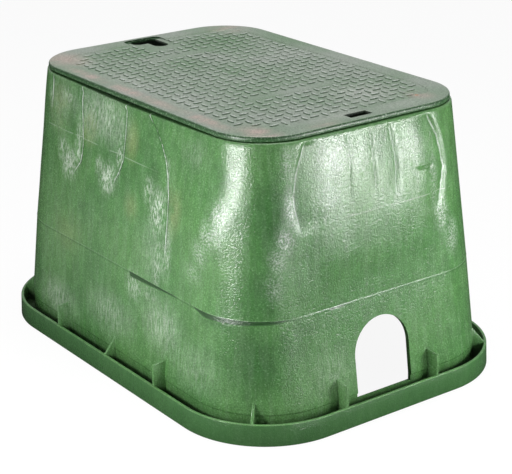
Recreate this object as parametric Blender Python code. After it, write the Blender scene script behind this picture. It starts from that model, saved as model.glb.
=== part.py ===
# Rectangular irrigation valve box: a tapered box body that is open below, and its overlapping lid.
# Metres, +Z up. The origin is the centre of the foot, on the ground. The long side runs along X.
# The body is one moulding: walls, foot flange, rim and gussets. The lid is another, and it only rests
# on the body's top edge.

import math

import bmesh
import bpy
from mathutils import Vector

# Body: the wall's outline at three heights
BODY_HEIGHT = 0.305
TOP_LENGTH = 0.442
TOP_WIDTH = 0.296
TOP_CORNER = 0.066
STEP_HEIGHT = 0.1257
STEP_LENGTH = 0.474
STEP_WIDTH = 0.340
STEP_CORNER = 0.078
FOOT_HEIGHT = 0.0275
FOOT_LENGTH = 0.502
FOOT_WIDTH = 0.358
FOOT_CORNER = 0.090

# Body: wall, step line, seat for the lid
WALL = 0.004
STEP_LIP = 0.0012
STEP_LIP_HEIGHT = 0.005
FOOT_UNDERCUT = 0.0012
SEAT_WIDTH = 0.007
SEAT_DEPTH = 0.012
SEAT_TAPER = 0.008
TOP_ROUND = 0.002

# Body: how the long sides and the ends swell between step line and top edge, and how that edge sags
SIDE_SWELL = 0.0014
END_SWELL = 0.0030
SIDE_SAG = 0.0026
END_SAG = 0.0007
SAG_REACH = 0.043

# Body: channel and rim round the foot
CHANNEL = 0.0117
FLANGE_THICKNESS = 0.004
RIM_WALL = 0.0033
RIM_HEIGHT = 0.024
RIM_DRAFT = 0.0010
RIM_ROUND = 0.0010

# Body: gussets between wall and rim
GUSSET_THICKNESS = 0.003
TALL_GUSSET_HEIGHT = 0.050
TALL_GUSSET_FALL = 0.0015
LOW_GUSSET_HEIGHT = 0.0435
SIDE_GUSSET_SPACING = 0.100
END_GUSSET_SPACING = 0.124
GUSSET_BITE = 0.002

# Body: pipe holes in the two end walls
PIPE_HOLE_WIDTH = 0.0735
PIPE_HOLE_SPRING = 0.0655
PIPE_HOLE_SILL = 0.020

# Lid: plate, edge and skirt
LID_EDGE = 0.0057
LID_REVEAL_ENDS = 0.004
LID_REVEAL_SIDES = 0.001
LID_EDGE_ROUND = 0.0024
LID_EDGE_DRAFT = 0.0004
SEAT_GAP = 0.0003
SKIRT_CLEARANCE = 0.002
SKIRT_DEPTH = 0.014
SKIRT_WALL = 0.0035
SKIRT_DRAFT = 0.0008
PLATE_THICKNESS = 0.0045
RIB_THICKNESS = 0.003
CROSS_RIB_SPACING = 0.070
LONG_RIB_SPACING = 0.055

# Lid: recessed tread field
BORDER_ENDS = 0.0265
BORDER_SIDES = 0.023
FIELD_RECESS = 0.0010
FIELD_SLOPE = 0.0012
TREAD_PITCH = 0.0128
TREAD_LENGTH = 0.0120
TREAD_WIDTH = 0.0050
TREAD_RIDGE = 0.0064
TREAD_HEIGHT = 0.0013
TREAD_MARGIN = 0.003

# Lid: two plain plates in the tread, each one tread cell wide
PLATE_HEIGHT = 0.0011
PLATE_SLOPE = 0.0010
NEAR_PLATE_COLUMN = 7
NEAR_PLATE_ROWS = 4
FAR_PLATE_COLUMN = -9
FAR_PLATE_ROWS = 3

# Lid: pry slot near one end, hand pocket near the other
SLOT_WIDTH = 0.0125
SLOT_LENGTH = 0.0284
SLOT_EDGE = 0.0092
POCKET_WIDTH = 0.036
POCKET_LENGTH = 0.048
POCKET_EDGE = 0.009
POCKET_DEPTH = 0.010
POCKET_CORNER = 0.004
POCKET_WALL = 0.0025
GRIP_RADIUS = 0.0093
GRIP_REACH = 0.022

# Lid: the shallow D-shaped step round the hand pocket
PAD_MARGIN = 0.007
PAD_END_MARGIN = 0.002
PAD_CORNER = 0.008
PAD_DEPTH = 0.0016

# Facets
CORNER_STEPS = 10
SIDE_STEPS = (8, 6)
WALL_ROWS = 6
ARCH_STEPS = 20
POCKET_STEPS = 14
OVERCUT = 0.010
SHARP_ANGLE = math.radians(32)

LID_UNDER = BODY_HEIGHT + SEAT_GAP
LID_TOP = LID_UNDER + LID_EDGE


def clear_scene():
    for item in list(bpy.data.objects):
        bpy.data.objects.remove(item, do_unlink=True)


def plastic(name, colour, roughness):
    material = bpy.data.materials.new(name)
    material.use_nodes = True
    shader = material.node_tree.nodes["Principled BSDF"]
    shader.inputs["Base Color"].default_value = (*colour, 1.0)
    shader.inputs["Roughness"].default_value = roughness
    shader.inputs["Metallic"].default_value = 0.0
    return material


def finish(name, bm, material=None):
    """Turn a bmesh into a named object; without a material it is a cutter or a guide."""
    bmesh.ops.recalc_face_normals(bm, faces=bm.faces)
    mesh = bpy.data.meshes.new(name)
    bm.to_mesh(mesh)
    bm.free()
    item = bpy.data.objects.new(name, mesh)
    bpy.context.scene.collection.objects.link(item)
    if material:
        mesh.materials.append(material)
        mesh.shade_smooth()
        mesh.set_sharp_from_angle(angle=SHARP_ANGLE)
    else:
        item.hide_render = True
        item.display_type = "WIRE"
    return item


def boolean(item, other, operation):
    modifier = item.modifiers.new(f"{operation.lower()} {other.name}", "BOOLEAN")
    modifier.object = other
    modifier.operation = operation
    modifier.solver = "EXACT"


def outline(length, width, corner, height, offset=0.0, side_steps=(1, 1)):
    """Points of a rounded rectangle, moved outwards by offset, anticlockwise from the +X side.

    side_steps is into how many steps its sides along X and along Y are divided."""
    half_x = length / 2 + offset
    half_y = width / 2 + offset
    radius = corner + offset
    arcs = []
    for quarter, (sign_x, sign_y) in enumerate(((1, 1), (-1, 1), (-1, -1), (1, -1))):
        centre = Vector((sign_x * (half_x - radius), sign_y * (half_y - radius), height))
        angles = [math.radians(90) * (quarter + step / CORNER_STEPS) for step in range(CORNER_STEPS + 1)]
        arcs.append([centre + radius * Vector((math.cos(a), math.sin(a), 0)) for a in angles])
    points = []
    for quarter, arc in enumerate(arcs):
        next_start = arcs[(quarter + 1) % 4][0]
        steps = side_steps[quarter % 2]
        points += arc
        points += [arc[-1].lerp(next_start, step / steps) for step in range(1, steps)]
    return points


def blend(low, high, share):
    """A ring between two rings that have the same number of points."""
    return [a.lerp(b, share) for a, b in zip(low, high)]


def add_ring(bm, points):
    return [bm.verts.new(point) for point in points]


def skin(bm, rings, closed=False):
    """Join rings of equal length with quads; closed also joins the last ring to the first."""
    pairs = list(zip(rings, rings[1:]))
    if closed:
        pairs.append((rings[-1], rings[0]))
    for low, high in pairs:
        for i in range(len(low)):
            j = (i + 1) % len(low)
            bm.faces.new((low[i], low[j], high[j], high[i]))


def prism(bm, low_points, high_points):
    """A closed solid between two rings of points."""
    low = add_ring(bm, low_points)
    high = add_ring(bm, high_points)
    skin(bm, [low, high])
    bm.faces.new(low)
    bm.faces.new(high)


def box(bm, x_range, y_range, z_range):
    corners = [(x_range[i], y_range[j]) for i, j in ((0, 0), (1, 0), (1, 1), (0, 1))]
    prism(bm, *[[Vector((x, y, z)) for x, y in corners] for z in z_range])


# Body

def foot_ring(height, offset=0.0):
    return outline(FOOT_LENGTH, FOOT_WIDTH, FOOT_CORNER, height, offset, SIDE_STEPS)


def step_ring(height, offset=0.0):
    return outline(STEP_LENGTH, STEP_WIDTH, STEP_CORNER, height, offset, SIDE_STEPS)


def top_ring(height, offset=0.0):
    """A ring at the top edge, which sags with the wall below it."""
    return shrink(outline(TOP_LENGTH, TOP_WIDTH, TOP_CORNER, height, offset, SIDE_STEPS))


def along_sides():
    """For each point of a body ring: the way its side faces, and a share that is 1 at mid side.

    The share falls to 0 at the corners, whose own points have no side."""
    places = []
    for quarter, (x, y) in enumerate(((0, 1), (-1, 0), (0, -1), (1, 0))):
        places += [(Vector((0, 0, 0)), 0)] * (CORNER_STEPS + 1)
        steps = SIDE_STEPS[quarter % 2]
        places += [(Vector((x, y, 0)), 1 - abs(2 * step / steps - 1) ** 3) for step in range(1, steps)]
    return places


def shrink(points):
    """Swell and sag a ring of the upper wall, as the moulding did when it cooled."""
    for point, (outwards, middle) in zip(points, along_sides()):
        share = (point.z - STEP_HEIGHT) / (BODY_HEIGHT - STEP_HEIGHT)
        sagging = max(point.z - BODY_HEIGHT + SAG_REACH, 0) / SAG_REACH
        swell, sag = (SIDE_SWELL, SIDE_SAG) if outwards.y else (END_SWELL, END_SAG)
        point += outwards * swell * middle * math.sin(math.pi * share)
        point.z -= sag * middle * sagging ** 2
    return points


def upper_wall(height, offset):
    """The upper wall's outline at any height, from the step line to the top edge."""
    share = (height - STEP_HEIGHT) / (BODY_HEIGHT - STEP_HEIGHT)
    low = step_ring(height, offset)
    high = outline(TOP_LENGTH, TOP_WIDTH, TOP_CORNER, height, offset, SIDE_STEPS)
    return shrink(blend(low, high, share))


def wall_rows(low, high, offset):
    """Rings of the upper wall from one height to another, both included."""
    return [upper_wall(low + (high - low) * row / WALL_ROWS, offset) for row in range(WALL_ROWS + 1)]


def lower_wall(height, offset):
    """The lower wall's outline at any height, from the foot to the step line."""
    share = (height - FOOT_HEIGHT) / (STEP_HEIGHT - FOOT_HEIGHT)
    ring = blend(foot_ring(0, offset), step_ring(0, offset), share)
    return [Vector((point.x, point.y, height)) for point in ring]


def body_section():
    """The wall's section as a closed list of rings: under the flange, out, up, over and down inside."""
    foot_face = -FOOT_UNDERCUT
    inner_foot = foot_face - WALL
    rim_inner = CHANNEL
    rim_outer = CHANNEL + RIM_WALL
    rim_base = rim_outer + RIM_DRAFT
    lip_top = STEP_HEIGHT - STEP_LIP_HEIGHT
    opening_foot = BODY_HEIGHT - SEAT_DEPTH
    return [
        foot_ring(0, inner_foot),
        foot_ring(0, rim_base - RIM_ROUND),
        foot_ring(RIM_ROUND, rim_base),
        foot_ring(RIM_HEIGHT - RIM_ROUND, rim_outer),
        foot_ring(RIM_HEIGHT, rim_outer - RIM_ROUND),
        foot_ring(RIM_HEIGHT, rim_inner + RIM_ROUND / 2),
        foot_ring(RIM_HEIGHT - RIM_ROUND / 2, rim_inner),
        foot_ring(FLANGE_THICKNESS, rim_inner - RIM_DRAFT),
        foot_ring(FLANGE_THICKNESS, foot_face),
        foot_ring(FOOT_HEIGHT - FOOT_UNDERCUT, foot_face),
        foot_ring(FOOT_HEIGHT, 0),
        lower_wall(lip_top, 0),
        lower_wall(STEP_HEIGHT - STEP_LIP / 3, -STEP_LIP),
        *wall_rows(STEP_HEIGHT, BODY_HEIGHT - TOP_ROUND, 0),
        top_ring(BODY_HEIGHT - TOP_ROUND * 0.3, -TOP_ROUND * 0.3),
        top_ring(BODY_HEIGHT, -TOP_ROUND),
        top_ring(BODY_HEIGHT, -SEAT_WIDTH),
        top_ring(opening_foot, -SEAT_WIDTH),
        *wall_rows(opening_foot - SEAT_TAPER, STEP_HEIGHT + STEP_LIP, -WALL),
        upper_wall(STEP_HEIGHT, -WALL - STEP_LIP / 2),
        lower_wall(lip_top, -WALL - STEP_LIP / 2),
        foot_ring(FOOT_HEIGHT, inner_foot),
    ]


def wall_face(axis, height):
    """How far the lower wall's outer face stands from the centre, along X (0) or Y (1)."""
    foot = (FOOT_LENGTH, FOOT_WIDTH)[axis] / 2
    step = (STEP_LENGTH, STEP_WIDTH)[axis] / 2
    share = (height - FOOT_HEIGHT) / (STEP_HEIGHT - FOOT_HEIGHT)
    return foot + (step - foot) * share


def add_gusset(bm, foot_point, outwards, slope, tall):
    """One plate from the wall to the rim. slope is how far the wall leans in per metre of height."""
    height = TALL_GUSSET_HEIGHT if tall else LOW_GUSSET_HEIGHT
    lean = slope * (height - FOOT_HEIGHT)
    top_run = -lean - GUSSET_BITE
    base_run = -FOOT_UNDERCUT - GUSSET_BITE
    rim_middle = CHANNEL + RIM_WALL / 2
    rim_face = CHANNEL + RIM_WALL - RIM_ROUND / 2
    if tall:
        profile = [
            (base_run, FLANGE_THICKNESS - GUSSET_BITE),
            (rim_middle, FLANGE_THICKNESS - GUSSET_BITE),
            (rim_middle, RIM_HEIGHT - RIM_ROUND * 2),
            (rim_face, RIM_HEIGHT - RIM_ROUND * 2),
            (rim_face, height - TALL_GUSSET_FALL),
            (top_run, height),
        ]
    else:
        profile = [
            (base_run, FLANGE_THICKNESS - GUSSET_BITE),
            (rim_middle, FLANGE_THICKNESS - GUSSET_BITE),
            (rim_middle, RIM_HEIGHT - RIM_ROUND),
            (top_run, height),
        ]
    across = Vector((-outwards.y, outwards.x, 0)) * GUSSET_THICKNESS / 2
    faces = []
    for side in (-1, 1):
        faces.append([foot_point + outwards * run + across * side + Vector((0, 0, rise))
                      for run, rise in profile])
    prism(bm, *faces)


def make_gussets():
    """Three gussets on each long side, two beside each pipe hole and one at each corner."""
    bm = bmesh.new()
    rise = STEP_HEIGHT - FOOT_HEIGHT
    end_slope = (FOOT_LENGTH - STEP_LENGTH) / 2 / rise
    side_slope = (FOOT_WIDTH - STEP_WIDTH) / 2 / rise
    for sign in (-1, 1):
        for place in (-1, 0, 1):
            foot_point = Vector((place * SIDE_GUSSET_SPACING, sign * FOOT_WIDTH / 2, 0))
            add_gusset(bm, foot_point, Vector((0, sign, 0)), side_slope, tall=place != 0)
        for place in (-1, 1):
            foot_point = Vector((sign * FOOT_LENGTH / 2, place * END_GUSSET_SPACING / 2, 0))
            add_gusset(bm, foot_point, Vector((sign, 0, 0)), end_slope, tall=True)
        for other in (-1, 1):
            diagonal = Vector((sign, other, 0)).normalized()
            centre = Vector((sign * (FOOT_LENGTH / 2 - FOOT_CORNER),
                             other * (FOOT_WIDTH / 2 - FOOT_CORNER), 0))
            add_gusset(bm, centre + diagonal * FOOT_CORNER, diagonal,
                       max(end_slope, side_slope), tall=False)
    return finish("gusset_guide", bm)


def arch_points(x):
    """The pipe hole's outline at one X: a flat sill, upright jambs and a round arch."""
    radius = PIPE_HOLE_WIDTH / 2
    points = [Vector((x, -radius, PIPE_HOLE_SILL)), Vector((x, radius, PIPE_HOLE_SILL))]
    for step in range(ARCH_STEPS + 1):
        angle = math.pi * step / ARCH_STEPS
        points.append(Vector((x, radius * math.cos(angle), PIPE_HOLE_SPRING + radius * math.sin(angle))))
    return points


def make_pipe_holes():
    """Cutters for the holes. Each stops in the channel, so that the rim stays whole."""
    bm = bmesh.new()
    apex = PIPE_HOLE_SPRING + PIPE_HOLE_WIDTH / 2
    inner = wall_face(0, apex) - WALL - STEP_LIP - OVERCUT
    outer = FOOT_LENGTH / 2 + CHANNEL / 2
    for sign in (-1, 1):
        prism(bm, arch_points(sign * inner), arch_points(sign * outer))
    return finish("pipe_hole_cutter", bm)


def make_body(material):
    bm = bmesh.new()
    skin(bm, [add_ring(bm, points) for points in body_section()], closed=True)
    body = finish("box_body", bm, material)
    boolean(body, make_gussets(), "UNION")
    boolean(body, make_pipe_holes(), "DIFFERENCE")


# Lid

LID_LENGTH = TOP_LENGTH - 2 * LID_REVEAL_ENDS
LID_WIDTH = TOP_WIDTH - 2 * LID_REVEAL_SIDES
LID_CORNER = TOP_CORNER - LID_REVEAL_ENDS
FIELD_LENGTH = LID_LENGTH - 2 * BORDER_ENDS
FIELD_WIDTH = LID_WIDTH - 2 * BORDER_SIDES
FIELD_CORNER = LID_CORNER - BORDER_ENDS
FLOOR = LID_TOP - FIELD_RECESS
SLOT_X = LID_LENGTH / 2 - SLOT_EDGE - SLOT_WIDTH / 2
POCKET_END = -LID_LENGTH / 2 + POCKET_EDGE


def lid_ring(height, offset=0.0):
    return outline(LID_LENGTH, LID_WIDTH, LID_CORNER, height, offset)


def field_ring(height, offset=0.0):
    return outline(FIELD_LENGTH, FIELD_WIDTH, FIELD_CORNER, height, offset)


def skirt_ring(height, offset=0.0):
    """The skirt fits inside the body's seat, so it takes its outline from there."""
    return outline(TOP_LENGTH, TOP_WIDTH, TOP_CORNER, height, offset - SEAT_WIDTH - SKIRT_CLEARANCE)


def d_points(end, length, width, corner, height):
    """A D-shaped outline: a flat end near the lid's edge, and a round end towards its middle."""
    radius = width / 2
    round_centre = end + length - radius
    points = []
    for step in range(POCKET_STEPS + 1):
        angle = math.pi * (step / POCKET_STEPS - 0.5)
        points.append(Vector((round_centre + radius * math.cos(angle), radius * math.sin(angle), height)))
    for start, sign_y in ((0.5, 1), (1.0, -1)):
        centre = Vector((end + corner, sign_y * (radius - corner), height))
        for step in range(POCKET_STEPS // 4 + 1):
            angle = math.pi * (start + 0.5 * step / (POCKET_STEPS // 4))
            points.append(centre + corner * Vector((math.cos(angle), math.sin(angle), 0)))
    return points


def slot_points(first, last, radius, height):
    """A slot with two round ends, between two centres given as (x, y)."""
    first, last = Vector((*first, height)), Vector((*last, height))
    ahead = (last - first).normalized()
    across = Vector((-ahead.y, ahead.x, 0))
    points = []
    for centre, way in ((last, 1), (first, -1)):
        for step in range(POCKET_STEPS + 1):
            angle = math.pi * (step / POCKET_STEPS - 0.5)
            points.append(centre + way * radius * (ahead * math.cos(angle) + across * math.sin(angle)))
    return points


def in_field(x, y):
    """True where a point lies inside the tread field, TREAD_MARGIN clear of its edge."""
    radius = max(FIELD_CORNER - TREAD_MARGIN, 0)
    over_x = max(abs(x) - (FIELD_LENGTH / 2 - TREAD_MARGIN - radius), 0)
    over_y = max(abs(y) - (FIELD_WIDTH / 2 - TREAD_MARGIN - radius), 0)
    return math.hypot(over_x, over_y) <= radius


def near_pocket(x, y):
    """True where a tread cell would reach the hand pocket."""
    reach = POCKET_WIDTH / 2 + PAD_MARGIN + TREAD_PITCH / 2
    return abs(y) < reach and x < POCKET_END + POCKET_LENGTH + TREAD_MARGIN + TREAD_PITCH / 2


def on_plate(column, row):
    near = column == NEAR_PLATE_COLUMN and abs(row) <= NEAR_PLATE_ROWS
    far = column == FAR_PLATE_COLUMN and abs(row) <= FAR_PLATE_ROWS
    return near or far


def tread_cells():
    """Columns and rows of the tread cells that fit the field."""
    half = TREAD_PITCH / 2
    columns = int(FIELD_LENGTH / 2 / TREAD_PITCH) + 1
    rows = int(FIELD_WIDTH / 2 / TREAD_PITCH) + 1
    cells = []
    for column in range(-columns, columns + 1):
        for row in range(-rows, rows + 1):
            x, y = column * TREAD_PITCH, row * TREAD_PITCH
            corners = [(x + i * half, y + j * half) for i in (-1, 1) for j in (-1, 1)]
            if all(in_field(*corner) for corner in corners) and not near_pocket(x, y):
                cells.append((column, row))
    return cells


def add_bar(bm, corners, x, y, along_x):
    """One raised bar in its square cell: a slim diamond that rises to a short ridge."""
    long_half, wide_half, ridge_half = TREAD_LENGTH / 2, TREAD_WIDTH / 2, TREAD_RIDGE / 2
    reach = (long_half, wide_half) if along_x else (wide_half, long_half)
    east, north, west, south = [bm.verts.new((x + i * reach[0], y + j * reach[1], FLOOR))
                                for i, j in ((1, 0), (0, 1), (-1, 0), (0, -1))]
    way = (ridge_half, 0) if along_x else (0, ridge_half)
    first, last = [bm.verts.new((x + sign * way[0], y + sign * way[1], FLOOR + TREAD_HEIGHT))
                   for sign in (1, -1)]
    low_left, low_right, high_right, high_left = corners
    for face in ((low_left, low_right, south), (low_right, high_right, east),
                 (high_right, high_left, north), (high_left, low_left, west),
                 (low_left, south, west), (low_right, east, south),
                 (high_right, north, east), (high_left, west, north)):
        bm.faces.new(face)
    tips, flanks = ((east, west), (north, south)) if along_x else ((north, south), (east, west))
    for flank in flanks:
        bm.faces.new((tips[0], flank, first))
        bm.faces.new((first, flank, last))
        bm.faces.new((last, flank, tips[1]))


def open_edges(verts):
    """Edges among these points that have at most one face."""
    chosen = set(verts)
    edges = {edge for vert in chosen for edge in vert.link_edges if len(edge.link_faces) < 2}
    return [edge for edge in edges if edge.verts[0] in chosen and edge.verts[1] in chosen]


def loop_edges(bm, ring):
    """The edges of a ring of points, made where they are missing."""
    edges = []
    for a, b in zip(ring, ring[1:] + ring[:1]):
        edges.append(bm.edges.get((a, b)) or bm.edges.new((a, b)))
    return edges


def add_plate(bm, grid_point, column, rows):
    """A plain raised plate over some cells of one column, with sloping sides."""
    half = TREAD_PITCH / 2
    left, right = [grid_point(column + side, -rows) for side in (0, 1)]
    hole = [left, right]
    hole += [grid_point(column + 1, row) for row in range(-rows + 1, rows + 2)]
    hole += [grid_point(column, row) for row in range(rows + 1, -rows, -1)]
    x, reach_y = column * TREAD_PITCH, (rows + 0.5) * TREAD_PITCH - PLATE_SLOPE
    rings = []
    for height, inset in ((0, PLATE_SLOPE), (PLATE_HEIGHT, 2 * PLATE_SLOPE)):
        reach_x = half - inset
        reach = reach_y + PLATE_SLOPE - inset
        rings.append([bm.verts.new((x + i * reach_x, j * reach, FLOOR + height))
                      for i, j in ((-1, -1), (1, -1), (1, 1), (-1, 1))])
    skin(bm, rings)
    bm.faces.new(rings[1])
    edges = loop_edges(bm, hole) + loop_edges(bm, rings[0])
    bmesh.ops.triangle_fill(bm, use_beauty=True, use_dissolve=False, edges=edges)


def add_tread(bm, field_edge):
    """Fill the field's floor with bars that lie along X and Y in turn, and with the two plates."""
    cells = tread_cells()
    points = {}

    def grid_point(column, row):
        key = (column, row)
        if key not in points:
            points[key] = bm.verts.new(((column - 0.5) * TREAD_PITCH, (row - 0.5) * TREAD_PITCH, FLOOR))
        return points[key]

    for column, row in cells:
        if on_plate(column, row):
            continue
        corners = [grid_point(column + i, row + j) for i, j in ((0, 0), (1, 0), (1, 1), (0, 1))]
        along_x = (column + row) % 2 == 0
        add_bar(bm, corners, column * TREAD_PITCH, row * TREAD_PITCH, along_x)
    for column, rows in ((NEAR_PLATE_COLUMN, NEAR_PLATE_ROWS), (FAR_PLATE_COLUMN, FAR_PLATE_ROWS)):
        if all((column, row) in cells for row in range(-rows, rows + 1)):
            add_plate(bm, grid_point, column, rows)
    edges = open_edges(points.values()) + loop_edges(bm, field_edge)
    bmesh.ops.triangle_fill(bm, use_beauty=True, use_dissolve=False, edges=edges)


def make_lid_blank(material):
    """The lid before it is hollowed: skirt, flange edge, plain border and tread field."""
    bm = bmesh.new()
    rings = [
        skirt_ring(LID_UNDER - SKIRT_DEPTH, -SKIRT_DRAFT),
        skirt_ring(LID_UNDER),
        lid_ring(LID_UNDER, -LID_EDGE_ROUND / 2),
        lid_ring(LID_UNDER + LID_EDGE_ROUND / 2),
        lid_ring(LID_TOP - LID_EDGE_ROUND, -LID_EDGE_DRAFT),
        lid_ring(LID_TOP - LID_EDGE_ROUND * 0.3, -LID_EDGE_DRAFT - LID_EDGE_ROUND * 0.3),
        lid_ring(LID_TOP, -LID_EDGE_DRAFT - LID_EDGE_ROUND),
        field_ring(LID_TOP, FIELD_SLOPE),
        field_ring(FLOOR),
    ]
    rings = [add_ring(bm, points) for points in rings]
    skin(bm, rings)
    bm.faces.new(rings[0])
    add_tread(bm, rings[-1])
    return finish("lid", bm, material)


def make_rib_guide():
    """The ribs that stay standing under the plate, as wide slabs."""
    bm = bmesh.new()
    half = RIB_THICKNESS / 2
    z_range = (LID_UNDER - SKIRT_DEPTH - OVERCUT, LID_TOP)
    cross = int((LID_LENGTH / 2 - CROSS_RIB_SPACING / 2) / CROSS_RIB_SPACING)
    for number in range(-cross, cross + 1):
        x = number * CROSS_RIB_SPACING
        box(bm, (x - half, x + half), (-LID_WIDTH / 2, LID_WIDTH / 2), z_range)
    cross_ribs = finish("cross_rib_guide", bm)
    bm = bmesh.new()
    pairs = int((LID_WIDTH / 2) / LONG_RIB_SPACING)
    for number in range(pairs):
        for sign in (-1, 1):
            y = sign * (number + 0.5) * LONG_RIB_SPACING
            box(bm, (-LID_LENGTH / 2, LID_LENGTH / 2), (y - half, y + half), z_range)
    return cross_ribs, finish("long_rib_guide", bm)


def make_underside_cutter():
    """What is hollow under the lid: all inside the skirt, but for the ribs and the pocket's cup."""
    bm = bmesh.new()
    prism(bm, skirt_ring(LID_UNDER - SKIRT_DEPTH - OVERCUT, -SKIRT_WALL - SKIRT_DRAFT),
          skirt_ring(LID_TOP - PLATE_THICKNESS, -SKIRT_WALL))
    cutter = finish("underside_cutter", bm)
    for ribs in make_rib_guide():
        boolean(cutter, ribs, "DIFFERENCE")
    bm = bmesh.new()
    cup = (POCKET_END - POCKET_WALL, POCKET_LENGTH + 2 * POCKET_WALL, POCKET_WIDTH + 2 * POCKET_WALL,
           POCKET_CORNER + POCKET_WALL)
    prism(bm, d_points(*cup, LID_TOP - POCKET_DEPTH - POCKET_WALL), d_points(*cup, LID_TOP))
    boolean(cutter, finish("cup_guide", bm), "DIFFERENCE")
    return cutter


def make_pad_cutter():
    """The shallow step round the pocket, which leads fingers into it."""
    bm = bmesh.new()
    pad = (POCKET_END - PAD_END_MARGIN, POCKET_LENGTH + PAD_END_MARGIN, POCKET_WIDTH + 2 * PAD_MARGIN,
           PAD_CORNER)
    prism(bm, d_points(*pad, LID_TOP - PAD_DEPTH), d_points(*pad, LID_TOP + OVERCUT))
    return finish("pad_cutter", bm)


def make_grip_cutters():
    """The pocket's hooked opening is two slots: one across the lid, and one from its end inwards."""
    across_x = POCKET_END + GRIP_RADIUS
    reach_y = POCKET_WIDTH / 2 - GRIP_RADIUS
    slots = {
        "grip_across_cutter": ((across_x, -reach_y), (across_x, reach_y)),
        "grip_inward_cutter": ((across_x, reach_y), (across_x + GRIP_REACH, reach_y)),
    }
    cutters = []
    for name, (first, last) in slots.items():
        bm = bmesh.new()
        prism(bm, slot_points(first, last, GRIP_RADIUS, LID_TOP - POCKET_DEPTH),
              slot_points(first, last, GRIP_RADIUS, LID_TOP + OVERCUT))
        cutters.append(finish(name, bm))
    return cutters


def make_slot_cutter():
    bm = bmesh.new()
    box(bm, (SLOT_X - SLOT_WIDTH / 2, SLOT_X + SLOT_WIDTH / 2), (-SLOT_LENGTH / 2, SLOT_LENGTH / 2),
        (LID_UNDER - SKIRT_DEPTH - OVERCUT, LID_TOP + OVERCUT))
    return finish("slot_cutter", bm)


def make_lid(material):
    lid = make_lid_blank(material)
    boolean(lid, make_underside_cutter(), "DIFFERENCE")
    boolean(lid, make_pad_cutter(), "DIFFERENCE")
    for cutter in make_grip_cutters():
        boolean(lid, cutter, "DIFFERENCE")
    boolean(lid, make_slot_cutter(), "DIFFERENCE")


def main():
    clear_scene()
    make_body(plastic("body_green", (0.080, 0.230, 0.075), 0.45))
    make_lid(plastic("lid_green", (0.200, 0.290, 0.190), 0.60))


main()
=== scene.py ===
# %% [markdown]
# # An irrigation valve box
#
# The real box is two mouldings in green polyethylene. The body is a tapered shell, open below, with
# a foot flange, an upright rim and small gussets. The lid is a plate with a sunk tread field.
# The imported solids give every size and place. This script models both mouldings again as fine
# meshes, because the dents in the walls and the rounded tread bars need more faces than a solid
# that is meant for measuring.

# %% Load the frame
import math

import bmesh
import bpy
import numpy as np
from mathutils import Matrix, Vector


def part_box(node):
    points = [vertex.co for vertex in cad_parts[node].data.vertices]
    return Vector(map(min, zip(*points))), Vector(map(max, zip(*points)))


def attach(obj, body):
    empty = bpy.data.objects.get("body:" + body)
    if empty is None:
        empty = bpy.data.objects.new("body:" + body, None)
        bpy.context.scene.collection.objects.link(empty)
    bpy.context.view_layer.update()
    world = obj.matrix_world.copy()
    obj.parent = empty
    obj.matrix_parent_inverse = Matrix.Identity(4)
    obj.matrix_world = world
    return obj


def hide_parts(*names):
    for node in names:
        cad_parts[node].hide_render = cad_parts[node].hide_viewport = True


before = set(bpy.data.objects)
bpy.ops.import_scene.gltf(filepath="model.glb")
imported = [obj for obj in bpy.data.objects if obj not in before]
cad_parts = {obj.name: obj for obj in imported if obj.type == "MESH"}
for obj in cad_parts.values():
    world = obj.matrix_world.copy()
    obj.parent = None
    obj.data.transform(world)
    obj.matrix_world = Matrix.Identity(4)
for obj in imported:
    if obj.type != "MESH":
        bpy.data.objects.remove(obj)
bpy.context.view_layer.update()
body_low, body_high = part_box("box_body")
lid_low, lid_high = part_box("lid")
print("body", body_low, body_high)
print("lid", lid_low, lid_high)

# %% [markdown]
# ## Camera
#
# A long lens far away keeps the sides of a box nearly parallel. The direction is given as a compass
# angle round the box, a height angle and a small roll, because these can be read off a photograph.

# %% Camera
CAMERA_AROUND = 53.77
CAMERA_ABOVE = 20.83
CAMERA_ROLL = -0.686
CAMERA_PLACE = (1.37164, -0.98727, 0.76018)
CAMERA_LENS = 110.24


def turn(axis, degrees):
    return Matrix.Rotation(math.radians(degrees), 4, axis)


def add_camera():
    data = bpy.data.cameras.new("camera")
    data.lens = CAMERA_LENS
    data.sensor_width = 36.0
    data.clip_end = 50.0
    camera = bpy.data.objects.new("camera", data)
    bpy.context.scene.collection.objects.link(camera)
    facing = turn("Z", CAMERA_AROUND) @ turn("X", 90 - CAMERA_ABOVE)
    camera.matrix_world = Matrix.Translation(CAMERA_PLACE) @ facing @ turn("Z", CAMERA_ROLL)
    bpy.context.scene.camera = camera


add_camera()

# %% [markdown]
# ## Tools for materials
#
# A finish is a graph of small nodes: a noise, a ramp that picks out a part of it, a mix of two
# colours. Each function here adds one such node and hands on what it puts out, so that a finish can
# be read from top to bottom like a recipe.

# %% Shader helpers
WHITE = (1, 1, 1)


def feed(tree, item, inputs):
    """Feed a node's inputs with numbers, colours or what other nodes put out."""
    for name, value in inputs.items():
        entry = item.inputs[name]
        if isinstance(value, bpy.types.NodeSocket):
            tree.links.new(value, entry)
        elif entry.type == "RGBA":
            entry.default_value = (*value, 1)
        else:
            entry.default_value = value
    return item


def node(tree, kind, inputs):
    return feed(tree, tree.nodes.new("ShaderNode" + kind), inputs)


def math_node(tree, operation, first, second=0):
    item = tree.nodes.new("ShaderNodeMath")
    item.operation = operation
    return feed(tree, item, {0: first, 1: second}).outputs[0]


def times(tree, first, second):
    return math_node(tree, "MULTIPLY", first, second)


def ramp(tree, value, low, high, start=0.0, end=1.0, kind="SMOOTHSTEP"):
    """Where value goes from low to high, go softly from start to end."""
    item = tree.nodes.new("ShaderNodeMapRange")
    item.interpolation_type = kind
    inputs = {"Value": value, "From Min": low, "From Max": high, "To Min": start, "To Max": end}
    return feed(tree, item, inputs).outputs["Result"]


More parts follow.
